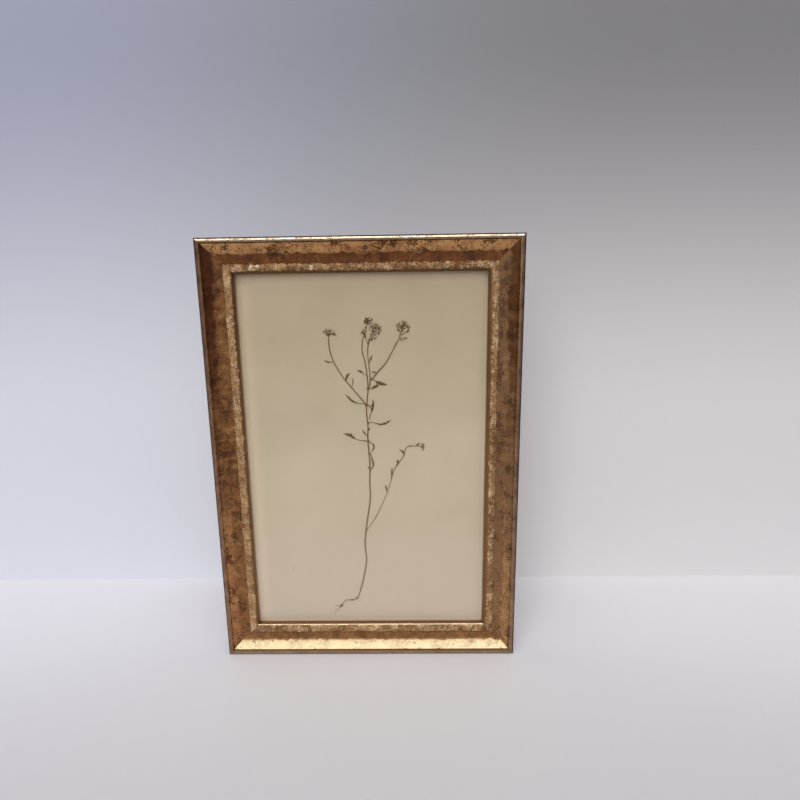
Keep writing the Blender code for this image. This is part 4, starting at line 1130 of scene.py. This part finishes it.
# Each flower head: the routes of its flower stalks; its buds as (x, z, angle, length,
# width); its petals as (x, z, angle, length, width, paleness); its open flowers as
# (x, z, angle, size, paleness); and its fans of thin flower stalks as (x, z, first angle,
# last angle, count, reach). Angles are in degrees, anticlockwise from +X.
FLOWER_HEADS = {
    "flower_head_left": dict(
        stalks=[
            [(-26.6, 267.0), (-26.8, 268.4), (-27.6, 269.6), (-28.3, 270.2)],
            [(-26.8, 268.4), (-26.1, 269.6), (-25.8, 271.0), (-25.7, 272.6)],
            [(-26.1, 269.6), (-25.2, 270.1), (-24.0, 270.2), (-23.0, 270.6), (-21.8, 271.9)],
            [(-26.4, 269.2), (-27.1, 271.2), (-27.9, 272.8), (-28.1, 273.8)],
            [(-27.0, 271.0), (-28.6, 272.3), (-30.0, 272.5)],
            [(-25.8, 270.6), (-24.8, 271.6), (-24.1, 272.8)],
            [(-23.4, 270.4), (-22.7, 270.1), (-22.1, 269.8)],
        ],
        buds=[
            (-28.5, 270.3, 155, 1.4, 0.7), (-30.2, 272.4, 175, 1.2, 0.7),
            (-28.1, 274.0, 110, 1.4, 0.7), (-25.8, 273.1, 95, 1.7, 0.8),
            (-24.0, 273.3, 80, 1.6, 0.6), (-21.9, 269.8, -30, 1.5, 0.9),
        ],
        petals=[
            (-29.0, 273.4, 165, 1.7, 0.8, 0.3), (-28.0, 271.6, 140, 1.4, 0.9, 0.95),
            (-25.3, 274.8, 85, 1.5, 0.9, 0.8), (-20.8, 269.4, -12, 1.4, 0.7, 0.3),
            (-21.6, 272.9, 75, 1.6, 0.6, 0.4), (-26.9, 273.0, 120, 1.6, 0.9, 0.5),
        ],
        flowers=[],
        fans=[(-26.4, 269.4, 35, 155, 6, 5.0), (-23.6, 270.3, -20, 50, 3, 2.4)]),
    "flower_head_centre_side": dict(
        stalks=[
            [(1.5, 269.2), (0.6, 270.2), (-0.2, 270.9), (-1.3, 272.4)],
            [(1.5, 269.2), (2.0, 268.4), (2.6, 267.8)],
            [(1.5, 269.2), (1.8, 270.8), (2.4, 272.2), (2.4, 274.4)],
            [(1.6, 272.4), (0.8, 273.4), (0.0, 274.4)],
        ],
        buds=[(-0.1, 270.9, 140, 1.7, 1.1), (1.5, 268.9, 70, 1.8, 1.4),
              (2.4, 272.3, 85, 1.3, 0.9)],
        petals=[(-0.9, 272.0, 130, 1.6, 0.5, 0.1), (0.4, 273.4, 125, 1.6, 0.6, 0.2),
                (2.9, 270.8, 30, 1.2, 0.7, 0.75)],
        flowers=[(1.0, 272.6, 120, 1.4, 0.2)],
        fans=[(1.2, 270.2, 95, 165, 5, 3.0)]),
    "flower_head_centre_crown": dict(
        stalks=[
            [(2.4, 274.4), (2.7, 276.0), (3.3, 277.6), (3.2, 279.4), (2.8, 281.6)],
            [(3.2, 279.6), (4.2, 280.4), (5.0, 280.2)],
            [(3.4, 278.4), (4.4, 278.2), (4.8, 277.8)],
            [(3.2, 278.8), (2.2, 279.2), (1.4, 278.8)],
            [(5.0, 280.2), (6.0, 280.3), (6.9, 281.0)],
            [(3.0, 281.0), (4.2, 282.2), (5.0, 282.6)],
        ],
        buds=[
            (2.4, 275.1, 88, 1.9, 1.1), (3.2, 278.9, 95, 2.6, 1.1), (2.5, 282.1, 100, 1.5, 1.0),
            (7.1, 281.2, 55, 1.6, 1.1), (4.7, 277.8, 10, 1.3, 0.9), (3.9, 280.9, -35, 1.9, 1.0),
            (5.2, 280.1, -20, 1.3, 0.8),
        ],
        petals=[
            (4.6, 278.9, 20, 1.9, 1.3, 1.0), (1.6, 278.9, 110, 1.8, 1.3, 0.15),
            (1.2, 278.2, 200, 1.2, 0.8, 0.3), (5.1, 282.6, 50, 1.6, 1.0, 0.2),
            (3.4, 281.9, 75, 1.6, 0.9, 0.1), (6.3, 280.4, 30, 1.2, 0.7, 0.2),
            (2.2, 279.9, 130, 1.4, 0.9, 0.2),
        ],
        flowers=[(3.0, 280.4, 100, 1.5, 0.2), (5.8, 279.4, 10, 1.3, 0.3)],
        fans=[(3.3, 278.6, 15, 165, 8, 3.2)]),
    "flower_head_centre": dict(
        stalks=[
            [(3.6, 261.0), (3.6, 262.8), (3.0, 264.6), (2.4, 266.4), (1.8, 268.2)],
            [(3.7, 262.8), (4.5, 264.2), (4.7, 265.6), (5.3, 267.2), (5.9, 269.0),
             (6.7, 270.4), (7.4, 271.6), (7.8, 272.8)],
            [(7.8, 272.8), (7.9, 274.2), (7.3, 275.2), (6.2, 275.8), (5.2, 275.6)],
            [(7.4, 271.6), (8.5, 270.8), (9.3, 269.6), (10.2, 268.2), (10.1, 267.2),
             (9.2, 266.5), (8.4, 265.6)],
            [(5.3, 267.2), (6.2, 267.4), (7.3, 268.2), (7.9, 269.4)],
            [(4.9, 265.8), (6.0, 265.4), (6.6, 265.8), (7.3, 266.8)],
            [(7.8, 272.8), (9.2, 272.4), (10.2, 272.9), (10.0, 274.6)],
            [(7.9, 274.2), (8.8, 274.8), (9.4, 275.6)],
            [(8.6, 272.6), (10.4, 271.6), (12.0, 270.6)],
            [(10.0, 274.6), (11.4, 274.4), (12.6, 273.8), (13.6, 272.8)],
            [(7.6, 275.0), (7.8, 276.4)],
            [(9.4, 275.6), (9.2, 277.2), (8.6, 278.2)],
        ],
        buds=[
            (7.8, 272.6, 80, 2.0, 1.3), (7.9, 274.3, 60, 1.3, 1.0), (7.8, 276.5, 110, 1.2, 1.0),
            (9.4, 275.2, 95, 2.8, 1.2), (12.2, 270.4, -20, 1.6, 1.2), (6.9, 266.1, 60, 2.3, 1.1),
            (9.1, 266.6, 40, 1.6, 0.9), (6.4, 275.7, 170, 1.9, 0.8), (12.5, 273.9, 110, 1.8, 1.0),
            (6.2, 269.6, 60, 1.6, 0.9), (4.6, 265.6, 80, 1.6, 1.0), (8.6, 271.0, -30, 1.4, 0.8),
            (9.2, 277.4, 110, 1.4, 0.8), (7.5, 269.5, 20, 1.2, 0.8),
        ],
        petals=[
            (5.6, 273.7, 100, 4.0, 3.4, 0.55), (8.9, 273.4, 10, 1.8, 1.3, 0.95),
            (11.0, 276.6, 60, 3.0, 2.4, 0.05), (12.4, 275.2, 20, 2.6, 2.0, 0.1),
            (10.8, 274.8, 80, 2.4, 1.6, 0.0), (11.9, 272.6, -40, 2.6, 1.4, 0.1),
            (13.8, 272.8, -25, 2.2, 1.4, 0.2), (10.2, 277.6, 110, 2.0, 1.2, 0.15),
            (13.4, 275.6, 30, 1.6, 1.0, 0.3), (7.2, 278.2, 120, 1.5, 0.9, 0.6),
            (5.4, 276.8, 150, 2.2, 1.0, 0.9), (10.2, 270.6, -60, 1.6, 0.9, 0.3),
            (8.0, 268.4, 40, 1.2, 0.8, 0.7), (12.8, 271.2, 15, 1.4, 0.8, 0.15),
        ],
        flowers=[(10.6, 275.8, 70, 2.2, 0.05), (12.8, 274.4, 10, 1.9, 0.15),
                 (12.0, 271.6, -30, 1.8, 0.15), (9.0, 270.2, -50, 1.5, 0.3),
                 (6.6, 277.4, 110, 1.5, 0.5)]),
    "flower_head_right": dict(
        stalks=[
            [(28.0, 266.6), (28.2, 268.4), (28.9, 270.2), (29.9, 271.7)],
            [(29.9, 271.7), (30.1, 273.2), (30.3, 274.8), (30.8, 276.2), (31.4, 277.6)],
            [(30.2, 274.9), (29.2, 276.0), (28.2, 276.8), (27.9, 278.2)],
            [(30.0, 273.4), (28.6, 274.8), (27.2, 275.8), (26.0, 277.2)],
            [(29.5, 271.2), (28.3, 272.0), (27.3, 272.8), (26.8, 273.6)],
            [(30.4, 275.0), (31.6, 275.8), (32.7, 276.8)],
            [(30.3, 273.8), (31.8, 274.0), (33.2, 275.0), (34.1, 276.2)],
            [(28.3, 268.8), (30.4, 269.6), (32.4, 270.8), (33.8, 271.6), (34.8, 272.4)],
            [(33.2, 275.0), (34.6, 274.8), (35.6, 275.0)],
            [(28.0, 266.6), (29.4, 266.6), (30.8, 266.5)],
            [(28.6, 265.9), (29.6, 265.0), (31.0, 264.7)],
        ],
        buds=[
            (27.9, 277.7, 95, 2.2, 1.0), (26.1, 276.7, 120, 2.0, 0.9), (27.5, 272.7, 140, 1.8, 1.3),
            (30.2, 272.6, 75, 2.4, 1.1), (30.1, 275.4, 120, 2.2, 1.5), (31.4, 276.9, 60, 2.6, 1.5),
            (34.1, 276.1, 100, 1.7, 0.9), (34.9, 272.4, 20, 1.7, 1.2), (32.7, 276.6, 70, 1.4, 0.9),
            (31.8, 273.8, 10, 1.3, 0.8), (33.9, 271.6, 30, 1.2, 0.7), (29.0, 275.8, 150, 1.8, 0.9),
            (26.9, 273.4, 150, 1.2, 0.8),
        ],
        petals=[
            (31.4, 278.4, 80, 3.0, 2.2, 0.0), (30.4, 279.2, 110, 2.4, 1.6, 0.2),
            (33.0, 278.2, 40, 2.6, 1.8, 0.12), (35.4, 274.8, 5, 2.2, 1.4, 0.05),
            (35.0, 273.8, -20, 1.8, 1.0, 0.2), (26.4, 275.6, 140, 1.8, 0.9, 0.35),
            (32.4, 266.4, 0, 3.8, 1.1, 0.1), (33.6, 266.8, 15, 1.8, 1.0, 0.3),
            (29.2, 267.6, 40, 1.2, 0.8, 0.85), (31.2, 271.8, 20, 1.4, 0.8, 0.85),
            (31.9, 275.0, 25, 1.4, 0.8, 0.8), (28.6, 274.2, 150, 1.6, 0.8, 0.5),
            (34.6, 271.4, -10, 1.5, 0.8, 0.2), (30.4, 264.7, 5, 1.6, 0.6, 0.15),
            (29.6, 277.6, 100, 1.6, 1.0, 0.4),
        ],
        flowers=[(31.8, 277.6, 75, 2.2, 0.05), (34.4, 275.6, 20, 1.8, 0.1),
                 (27.4, 274.6, 150, 1.6, 0.3), (31.8, 266.5, 0, 1.7, 0.2)]),
    "flower_head_low": dict(
        stalks=[
            [(39.4, 180.1), (40.4, 180.8), (41.5, 181.6), (42.7, 182.7)],
            [(41.0, 180.6), (42.6, 180.3), (44.2, 180.0), (45.4, 179.6)],
            [(45.2, 179.7), (46.0, 180.6), (45.5, 181.8)],
            [(45.2, 179.7), (45.9, 178.4), (45.3, 176.8)],
        ],
        buds=[
            (41.5, 181.6, 50, 2.0, 1.3), (42.8, 182.8, 45, 1.0, 0.8), (44.6, 179.8, -10, 2.0, 1.1),
            (45.4, 181.7, 120, 1.5, 1.1), (45.8, 179.4, -70, 1.4, 1.0),
        ],
        petals=[
            (46.0, 180.6, 70, 1.8, 1.2, 0.15), (45.8, 178.0, -80, 2.4, 1.3, 0.1),
            (45.2, 176.9, -110, 1.6, 0.9, 0.3), (44.8, 182.1, 150, 1.4, 0.9, 0.2),
        ],
        flowers=[(45.9, 178.8, -60, 1.6, 0.15), (45.8, 181.2, 60, 1.5, 0.15)]),
}


def heading(angle):
    """Return the direction at an angle in degrees, and the direction to its left."""
    turn = math.radians(angle)
    ahead = Vector((math.cos(turn), math.sin(turn)))
    return ahead, Vector((-ahead.y, ahead.x))


def spot_in_layer(spot, left, across, depth):
    """Return a point of the plant's layer; depth is towards the paper, in millimetres."""
    return ((spot.x + left.x * across) * MM, PLANT_Y + depth * MM,
            (spot.y + left.y * across) * MM)


def ring_across(skin, spot, left, section, **constants):
    """Add a ring round a point of a route; a section lists (across, depth, around)."""
    points = [spot_in_layer(spot, left, across, depth) for across, depth, _ in section]
    values = {name: [value] * len(points) for name, value in constants.items()}
    return skin.ring(points, around=[around for _, _, around in section], **values)


def sweeps(count):
    """Return evenly spaced angles round a circle."""
    return [math.tau * k / count for k in range(count)]


def add_stalk(skin, points, widths, thickness, seed, pale=None, spacing=0.8, finish=0,
              **constants):
    """Add a flattened, ridged stalk whose ends are rounded; widths are at base and tip."""
    route = smooth_route(points, spacing)
    base_width, tip_width = widths
    sides, ridges = 12, 5
    travelled, rings = 0.0, []
    last = len(route) - 1
    for i, (spot, left) in enumerate(zip(route, route_normals(route))):
        if i:
            travelled += (spot - route[i - 1]).length
        share = i / last
        half = (base_width + (tip_width - base_width) * share) / 2
        half *= 1 + 0.10 * ripple(travelled, seed, 0.0, size=2.4)
        half *= 0.35 if i in (0, last) else 1.0
        lift = 0.10 * ripple(travelled, seed, 5.0, size=9.0)
        sway = 0.07 * ripple(travelled, seed, 9.0, size=3.5)
        section = []
        for angle in sweeps(sides):
            reach = half * (1 + 0.13 * math.cos(ridges * angle + 0.05 * travelled))
            section.append((reach * math.cos(angle) + sway,
                            thickness * reach * math.sin(angle) + lift, half * angle))
        rings.append(ring_across(skin, spot, left, section, along=travelled + seed,
                                 pale=pale(travelled) if pale else 0.0, **constants))
    skin.tube(rings, finish)


def add_knob(skin, x, z, reach, angle, seed):
    """Add a swollen joint on a stalk, a short rounded lump."""
    steps, sides = 6, 12
    roundness, flatness = 0.62, 0.42
    ahead, left = heading(angle)
    rings = []
    for i in range(steps + 1):
        share = 2 * i / steps - 1
        along = reach * share
        half = roundness * reach * math.sqrt(max(0.02, 1 - share ** 2))
        section = []
        for sweep in sweeps(sides):
            wobble = 1 + 0.12 * ripple(along, sweep, seed, size=0.9)
            section.append((half * wobble * math.cos(sweep),
                            flatness * half * math.sin(sweep), half * sweep))
        rings.append(ring_across(skin, Vector((x, z)) + ahead * along, left, section,
                                 along=along + seed, pale=0.0))
    skin.tube(rings)


def make_stalk(name, material):
    """Make one stem or branch, with its joints and the shoots that tie it in."""
    points, base_width, tip_width = STALKS[name]
    seed = 13.0 * (1 + list(STALKS).index(name))
    thickness, shoot_thickness = 0.42, 0.45
    skin = Skin()
    if name == "main_stem":
        root, body = points[:8], points[7:]
        # The root and lower stem are paler: faded colour, with a painted reflection in the glass.
        add_stalk(skin, root, (0.40, 1.05), thickness, seed,
                  pale=lambda t: 1.0 - 0.50 * soft_step(t, 8, 20))
        add_stalk(skin, body, (base_width, tip_width), thickness, seed + 3,
                  pale=lambda t: 0.45 * (1 - soft_step(t, 20, 85)))
        add_knob(skin, -24.7, 39.1, 1.7, 48, seed)
    else:
        faint = 0.55 if name == "low_branch" else 0.12
        add_stalk(skin, points, (base_width, tip_width), thickness, seed,
                  pale=lambda t: faint * (1 - soft_step(t, 40, 62)))
    for x, z, reach, angle in KNOBS.get(name, []):
        add_knob(skin, x, z, reach, angle, seed + x)
    for shoot in SIDE_SHOOTS.get(name, []):
        rootlet = name == "main_stem" and shoot[0][1] < 50
        widths = (0.7, 0.25) if rootlet else (tip_width * 0.9, base_width * 0.9)
        add_stalk(skin, shoot, widths, shoot_thickness, seed + shoot[0][0], spacing=0.6,
                  pale=(lambda t: 0.7) if rootlet else None)
    stalk = skin.make("pressed_" + name, [material])
    return finish_piece(stalk, "dried_stem", name)


def add_blade(skin, route, half_widths, seed, thickness, cup=0.12, depth=0.0, **constants):
    """Add a thin blade along a route, with a raised midrib and a creased surface."""
    shares = (-1.0, -0.66, -0.33, -0.08, 0.08, 0.33, 0.66, 1.0)
    section = [(-1, share) for share in shares] + [(1, share) for share in reversed(shares)]
    travelled, rings = 0.0, []
    for i, (spot, left) in enumerate(zip(route, route_normals(route))):
        if i:
            travelled += (spot - route[i - 1]).length
        halves = half_widths(i / (len(route) - 1))
        ring, offsets = [], []
        for face, share in section:
            across = share * (halves[0] if share < 0 else halves[1])
            crease = 0.10 * ripple(travelled, across, seed, size=1.1)
            rib = 0.10 * max(0.0, 1 - abs(share) / 0.2)
            lens = thickness / 2 * math.sqrt(max(0.05, 1 - share * share))
            level = depth + cup * share * share + crease + face * (lens + rib)
            ring.append(spot_in_layer(spot, left, across, level))
            offsets.append(across)
        values = {name: [value] * len(ring) for name, value in constants.items()}
        rings.append(skin.ring(ring, along=[travelled + seed] * len(ring), across=offsets,
                               **values))
    skin.tube(rings)


def leaf_outline(width, blade_start, teeth):
    """Return a function from the share of the length to the leaf's two half widths."""
    petiole = 0.24

    def halves(t):
        """Give the half widths on the right and the left at one share of the length."""
        if t < blade_start:
            swell = 0.0
        else:
            swell = math.sin(math.pi * ((t - blade_start) / (1 - blade_start)) ** 0.8)
        half = max(petiole * (1 - soft_step(t, 0.9, 1.0)), width / 2 * max(0.0, swell) ** 0.75)
        sides = [half, half]
        for place, side, reach in teeth:
            tooth = max(0.0, 1 - abs(t - place) / 0.055)
            sides[0 if side < 0 else 1] += reach * tooth ** 1.4
        return [max(0.05, side) for side in sides]

    return halves


def make_leaf(name, material):
    """Make one dry leaf, thin and slightly creased."""
    midrib, width, blade_start, teeth = LEAVES[name]
    seed = 5.0 * (1 + list(LEAVES).index(name))
    skin = Skin()
    add_blade(skin, smooth_route(midrib, 0.28), leaf_outline(width, blade_start, teeth), seed,
              0.22, pale=FADED_LEAVES.get(name, 0.0))
    leaf = skin.make("pressed_" + name, [material])
    return finish_piece(leaf, "dried_leaf", name)


def add_bud(skin, x, z, angle, length, width, seed, depth=0.0):
    """Add a closed bud: a ribbed egg drawn out to a blunt tip."""
    steps, sides, ribs = 9, 12, 4
    ahead, left = heading(angle)
    rings = []
    for i in range(steps + 1):
        share = i / steps
        along = length * (share - 0.5)
        half = width / 2 * max(0.12, math.sin(math.pi * share ** 0.85)) ** 0.8
        flattened = min(0.42, 0.62 * half)
        section = []
        for sweep in sweeps(sides):
            rib = 1 + 0.12 * math.cos(ribs * sweep) + 0.10 * ripple(along, sweep, seed, size=0.7)
            section.append((half * rib * math.cos(sweep),
                            depth + flattened * rib * math.sin(sweep), half * sweep))
        rings.append(ring_across(skin, Vector((x, z)) + ahead * along, left, section,
                                 along=along + seed, across=0.0, pale=0.0))
    skin.tube(rings, finish=1)


def petal_outline(width):
    """Return a petal's half widths along it: a narrow claw, then a round blade."""
    def halves(t):
        """Give both half widths at one share of the length."""
        claw = 0.16
        blade = math.sin(math.pi * soft_step(t, 0.05, 1.02)) ** 0.7 if t < 1 else 0.0
        blade_half = width / 2 * blade * (0.45 + 0.55 * t ** 0.6)
        half = max(claw * (1 - soft_step(t, 0.8, 1.0)), blade_half)
        return [max(0.06, half)] * 2
    return halves


def add_petal(skin, x, z, angle, length, width, pale, seed, depth):
    """Add one papery petal, bent a little to one side."""
    ahead, left = heading(angle)
    middle = Vector((x, z))
    bend = 0.10 * length * ripple(seed, x, z, size=0.9)
    points = [middle - ahead * length / 2, middle + left * bend, middle + ahead * length / 2]
    add_blade(skin, smooth_route([tuple(point) for point in points], 0.22),
              petal_outline(width), seed, 0.10, cup=0.10, depth=depth, pale=pale, around=0.0)


def add_filament(skin, start, end, seed, width=0.12, finish=0):
    """Add a fine thread: a stamen, or the stalk of one tiny bud."""
    route = smooth_route([start, end], 0.3)
    half, layer, sides = width / 2, -0.16, 6
    section = [(half * math.cos(sweep), layer + half * math.sin(sweep), 0.0)
               for sweep in sweeps(sides)]
    rings = [ring_across(skin, spot, left, section, along=seed, across=0.0, pale=0.3)
             for spot, left in zip(route, route_normals(route))]
    skin.tube(rings, finish)


def add_open_flower(skin, x, z, angle, size, pale, seed, chance):
    """Add a small four-petalled flower pressed from the side, with sepals and stamens."""
    centre = Vector((x, z))
    for number, lean in enumerate((-62, -22, 20, 60)):
        turn = angle + lean + chance.uniform(-9, 9)
        reach = size * chance.uniform(0.85, 1.15)
        middle = centre + heading(turn)[0] * reach * 0.6
        add_petal(skin, middle.x, middle.y, turn, reach, size * chance.uniform(0.26, 0.40),
                  pale + chance.uniform(0.15, 0.50), seed + number, 0.12 * (number % 2) - 0.06)
    for number, lean in enumerate((-45, 40)):
        turn = angle + lean + chance.uniform(-8, 8)
        middle = centre + heading(turn)[0] * size * 0.3
        add_bud(skin, middle.x, middle.y, turn, size * 0.55, size * 0.13, seed + number, 0.16)
    for number in range(3):
        ahead, _ = heading(angle + chance.uniform(-32, 32))
        tip = centre + ahead * size * chance.uniform(0.55, 0.8)
        add_filament(skin, (x, z), tuple(tip), seed + number)


def add_fan(skin, x, z, first_angle, last_angle, count, reach, seed, chance):
    """Add a fan of thin dark flower stalks, each ending in a tiny closed bud."""
    for number in range(count):
        lean = first_angle + (last_angle - first_angle) * number / (count - 1)
        turn = lean + chance.uniform(-7, 7)
        length = reach * chance.uniform(0.65, 1.05)
        tip = Vector((x, z)) + heading(turn)[0] * length
        add_filament(skin, (x, z), tuple(tip), seed + number, width=0.24, finish=1)
        add_bud(skin, tip.x, tip.y, turn, 0.8, 0.40, seed + number)


def make_flower_head(name, petal, bud, stalk):
    """Make one pressed cluster: flower stalks, buds, loose petals and open flowers."""
    parts = FLOWER_HEADS[name]
    seed = 100.0 * (1 + list(FLOWER_HEADS).index(name))
    chance = random.Random(int(seed))
    skin = Skin()
    for number, flower in enumerate(parts["flowers"]):
        add_open_flower(skin, *flower, seed + 7 * number, chance)
    for number, fan in enumerate(parts.get("fans", [])):
        add_fan(skin, *fan, seed + 30 + 11 * number, chance)
    for number, shape in enumerate(parts["petals"]):
        add_petal(skin, *shape, seed + 50 + number, chance.uniform(-0.10, 0.16))
    for number, shape in enumerate(parts["buds"]):
        add_bud(skin, *shape, seed + 90 + number)
    for number, route in enumerate(parts["stalks"]):
        add_stalk(skin, route, (0.52, 0.34), 0.6, seed + 130 + number, spacing=0.4, finish=2,
                  across=0.0)
    head = skin.make("pressed_" + name, [petal, bud, stalk])
    return finish_piece(head, "dried_flower", name)


def make_plant():
    """Make every piece of the pressed plant."""
    stalk, leaf, bud, petal = dried_stalk(), dried_leaf(), dried_bud(), faded_petal()
    for name in STALKS:
        make_stalk(name, stalk)
    for name in LEAVES:
        make_leaf(name, leaf)
    for name in FLOWER_HEADS:
        make_flower_head(name, petal, bud, stalk)


# ---- the studio ----

def stage_plane(name, corners, material):
    """Add a flat stage surface through four corners."""
    mesh = bpy.data.meshes.new(name)
    mesh.from_pydata(corners, [], [(0, 1, 2, 3)])
    mesh.materials.append(material)
    plane = bpy.data.objects.new(name, mesh)
    bpy.context.scene.collection.objects.link(plane)


def pale_table():
    """Matt pale table top that falls off to dark grey well in front of the frame."""
    material, tree, shader = new_material("pale_table", Roughness=0.6, Specular_IOR_Level=0.1)
    depth = parts_of(tree, place_in_mm(tree))["Y"]
    # Painted light falloff: dark grey far in front, brighter towards the backdrop.
    colour = blend_colour(tree, remap(tree, depth, -1000.0, -240.0), (0.12, 0.115, 0.12),
                          (0.755, 0.750, 0.765))
    colour = blend_colour(tree, remap(tree, depth, -200.0, 40.0), colour, (0.920, 0.910, 0.930))
    tree.links.new(colour, shader.inputs["Base Color"])
    return material


def pale_backdrop():
    """Matt pale wall, cooler to the left, that is seen only from its front."""
    material, tree, shader = new_material("pale_backdrop", Roughness=0.9)
    split = parts_of(tree, place_in_mm(tree))
    share = remap(tree, split["X"], -350.0, 250.0)
    colour = blend_colour(tree, share, (0.72, 0.73, 0.80), (0.72, 0.70, 0.70))
    shaded = blend_colour(tree, share, (0.360, 0.380, 0.475), (0.225, 0.222, 0.225))
    colour = blend_colour(tree, remap(tree, split["Z"], 170.0, 540.0), colour, shaded)
    tree.links.new(colour, shader.inputs["Base Color"])
    behind = add_node(tree, "ShaderNodeNewGeometry").outputs["Backfacing"]
    show_either(tree, behind, shader, add_node(tree, "ShaderNodeBsdfTransparent"))
    return material


def soft_light(name, place, target, width, height, watts):
    """Add a rectangular studio light that faces a point."""
    data = bpy.data.lights.new(name, "AREA")
    data.shape = "RECTANGLE"
    data.size = width
    data.size_y = height
    data.energy = watts
    light = bpy.data.objects.new(name, data)
    bpy.context.scene.collection.objects.link(light)
    light.location = place
    light.rotation_euler = (Vector(target) - Vector(place)).to_track_quat("-Z", "Y").to_euler()


def set_up_studio():
    """Make the table, the backdrop, the lights and the surrounding dim room."""
    reach, wall_y, wall_height = 2.5, FRONT_Y + 0.122, 1.6
    stage_plane("table_top", [(-reach, -reach, 0.0), (reach, -reach, 0.0),
                              (reach, reach, 0.0), (-reach, reach, 0.0)], pale_table())
    stage_plane("backdrop", [(-reach, wall_y, 0.0), (reach, wall_y, 0.0),
                             (reach, wall_y, wall_height), (-reach, wall_y, wall_height)],
                pale_backdrop())
    middle = (0.0, 0.0, OUTER_HEIGHT / 2)
    soft_light("key_softbox", (-0.35, -3.5, 1.98), (0.0, 0.0, 0.05), 3.9, 2.85, 100.0)
    soft_light("overhead_softbox", (0.0, -0.70, 1.45), (0.0, -0.05, 0.0), 1.5, 0.9, 7.0)
    soft_light("back_fill", (0.3, 1.2, 0.9), middle, 0.8, 0.8, 7.0)

    world = bpy.data.worlds.new("dim_room")
    bpy.context.scene.world = world
    world.use_nodes = True
    tree = world.node_tree
    direction = add_node(tree, "ShaderNodeTexCoord").outputs["Generated"]
    sides = blend_colour(tree, remap(tree, parts_of(tree, direction)["X"], -0.7, 0.7),
                         (0.20, 0.20, 0.21), (0.12, 0.10, 0.13))
    tree.links.new(sides, tree.nodes["Background"].inputs["Color"])


def set_up_camera():
    """Place the camera a little above the frame's middle and slightly to its right."""
    data = bpy.data.cameras.new("camera")
    data.lens = CAMERA_LENS
    data.sensor_width = 36.0
    data.clip_start = 0.01
    camera = bpy.data.objects.new("camera", data)
    bpy.context.scene.collection.objects.link(camera)
    aim = (CAMERA_TARGET - CAMERA_PLACE).to_track_quat("-Z", "Y").to_matrix().to_4x4()
    roll = Matrix.Rotation(math.radians(CAMERA_ROLL), 4, "Z")
    camera.matrix_world = Matrix.Translation(CAMERA_PLACE) @ aim @ roll
    bpy.context.scene.camera = camera
    bpy.context.scene.view_settings.view_transform = "Standard"


def build():
    """Make every piece of the framed flower and the studio round it."""
    set_up_camera()
    gilding, wood = antique_gilding(), bare_rail_wood()
    for side in SIDES:
        make_rail(side, gilding, wood)
    dress_packed_nodes()
    make_plant()
    set_up_studio()


build()
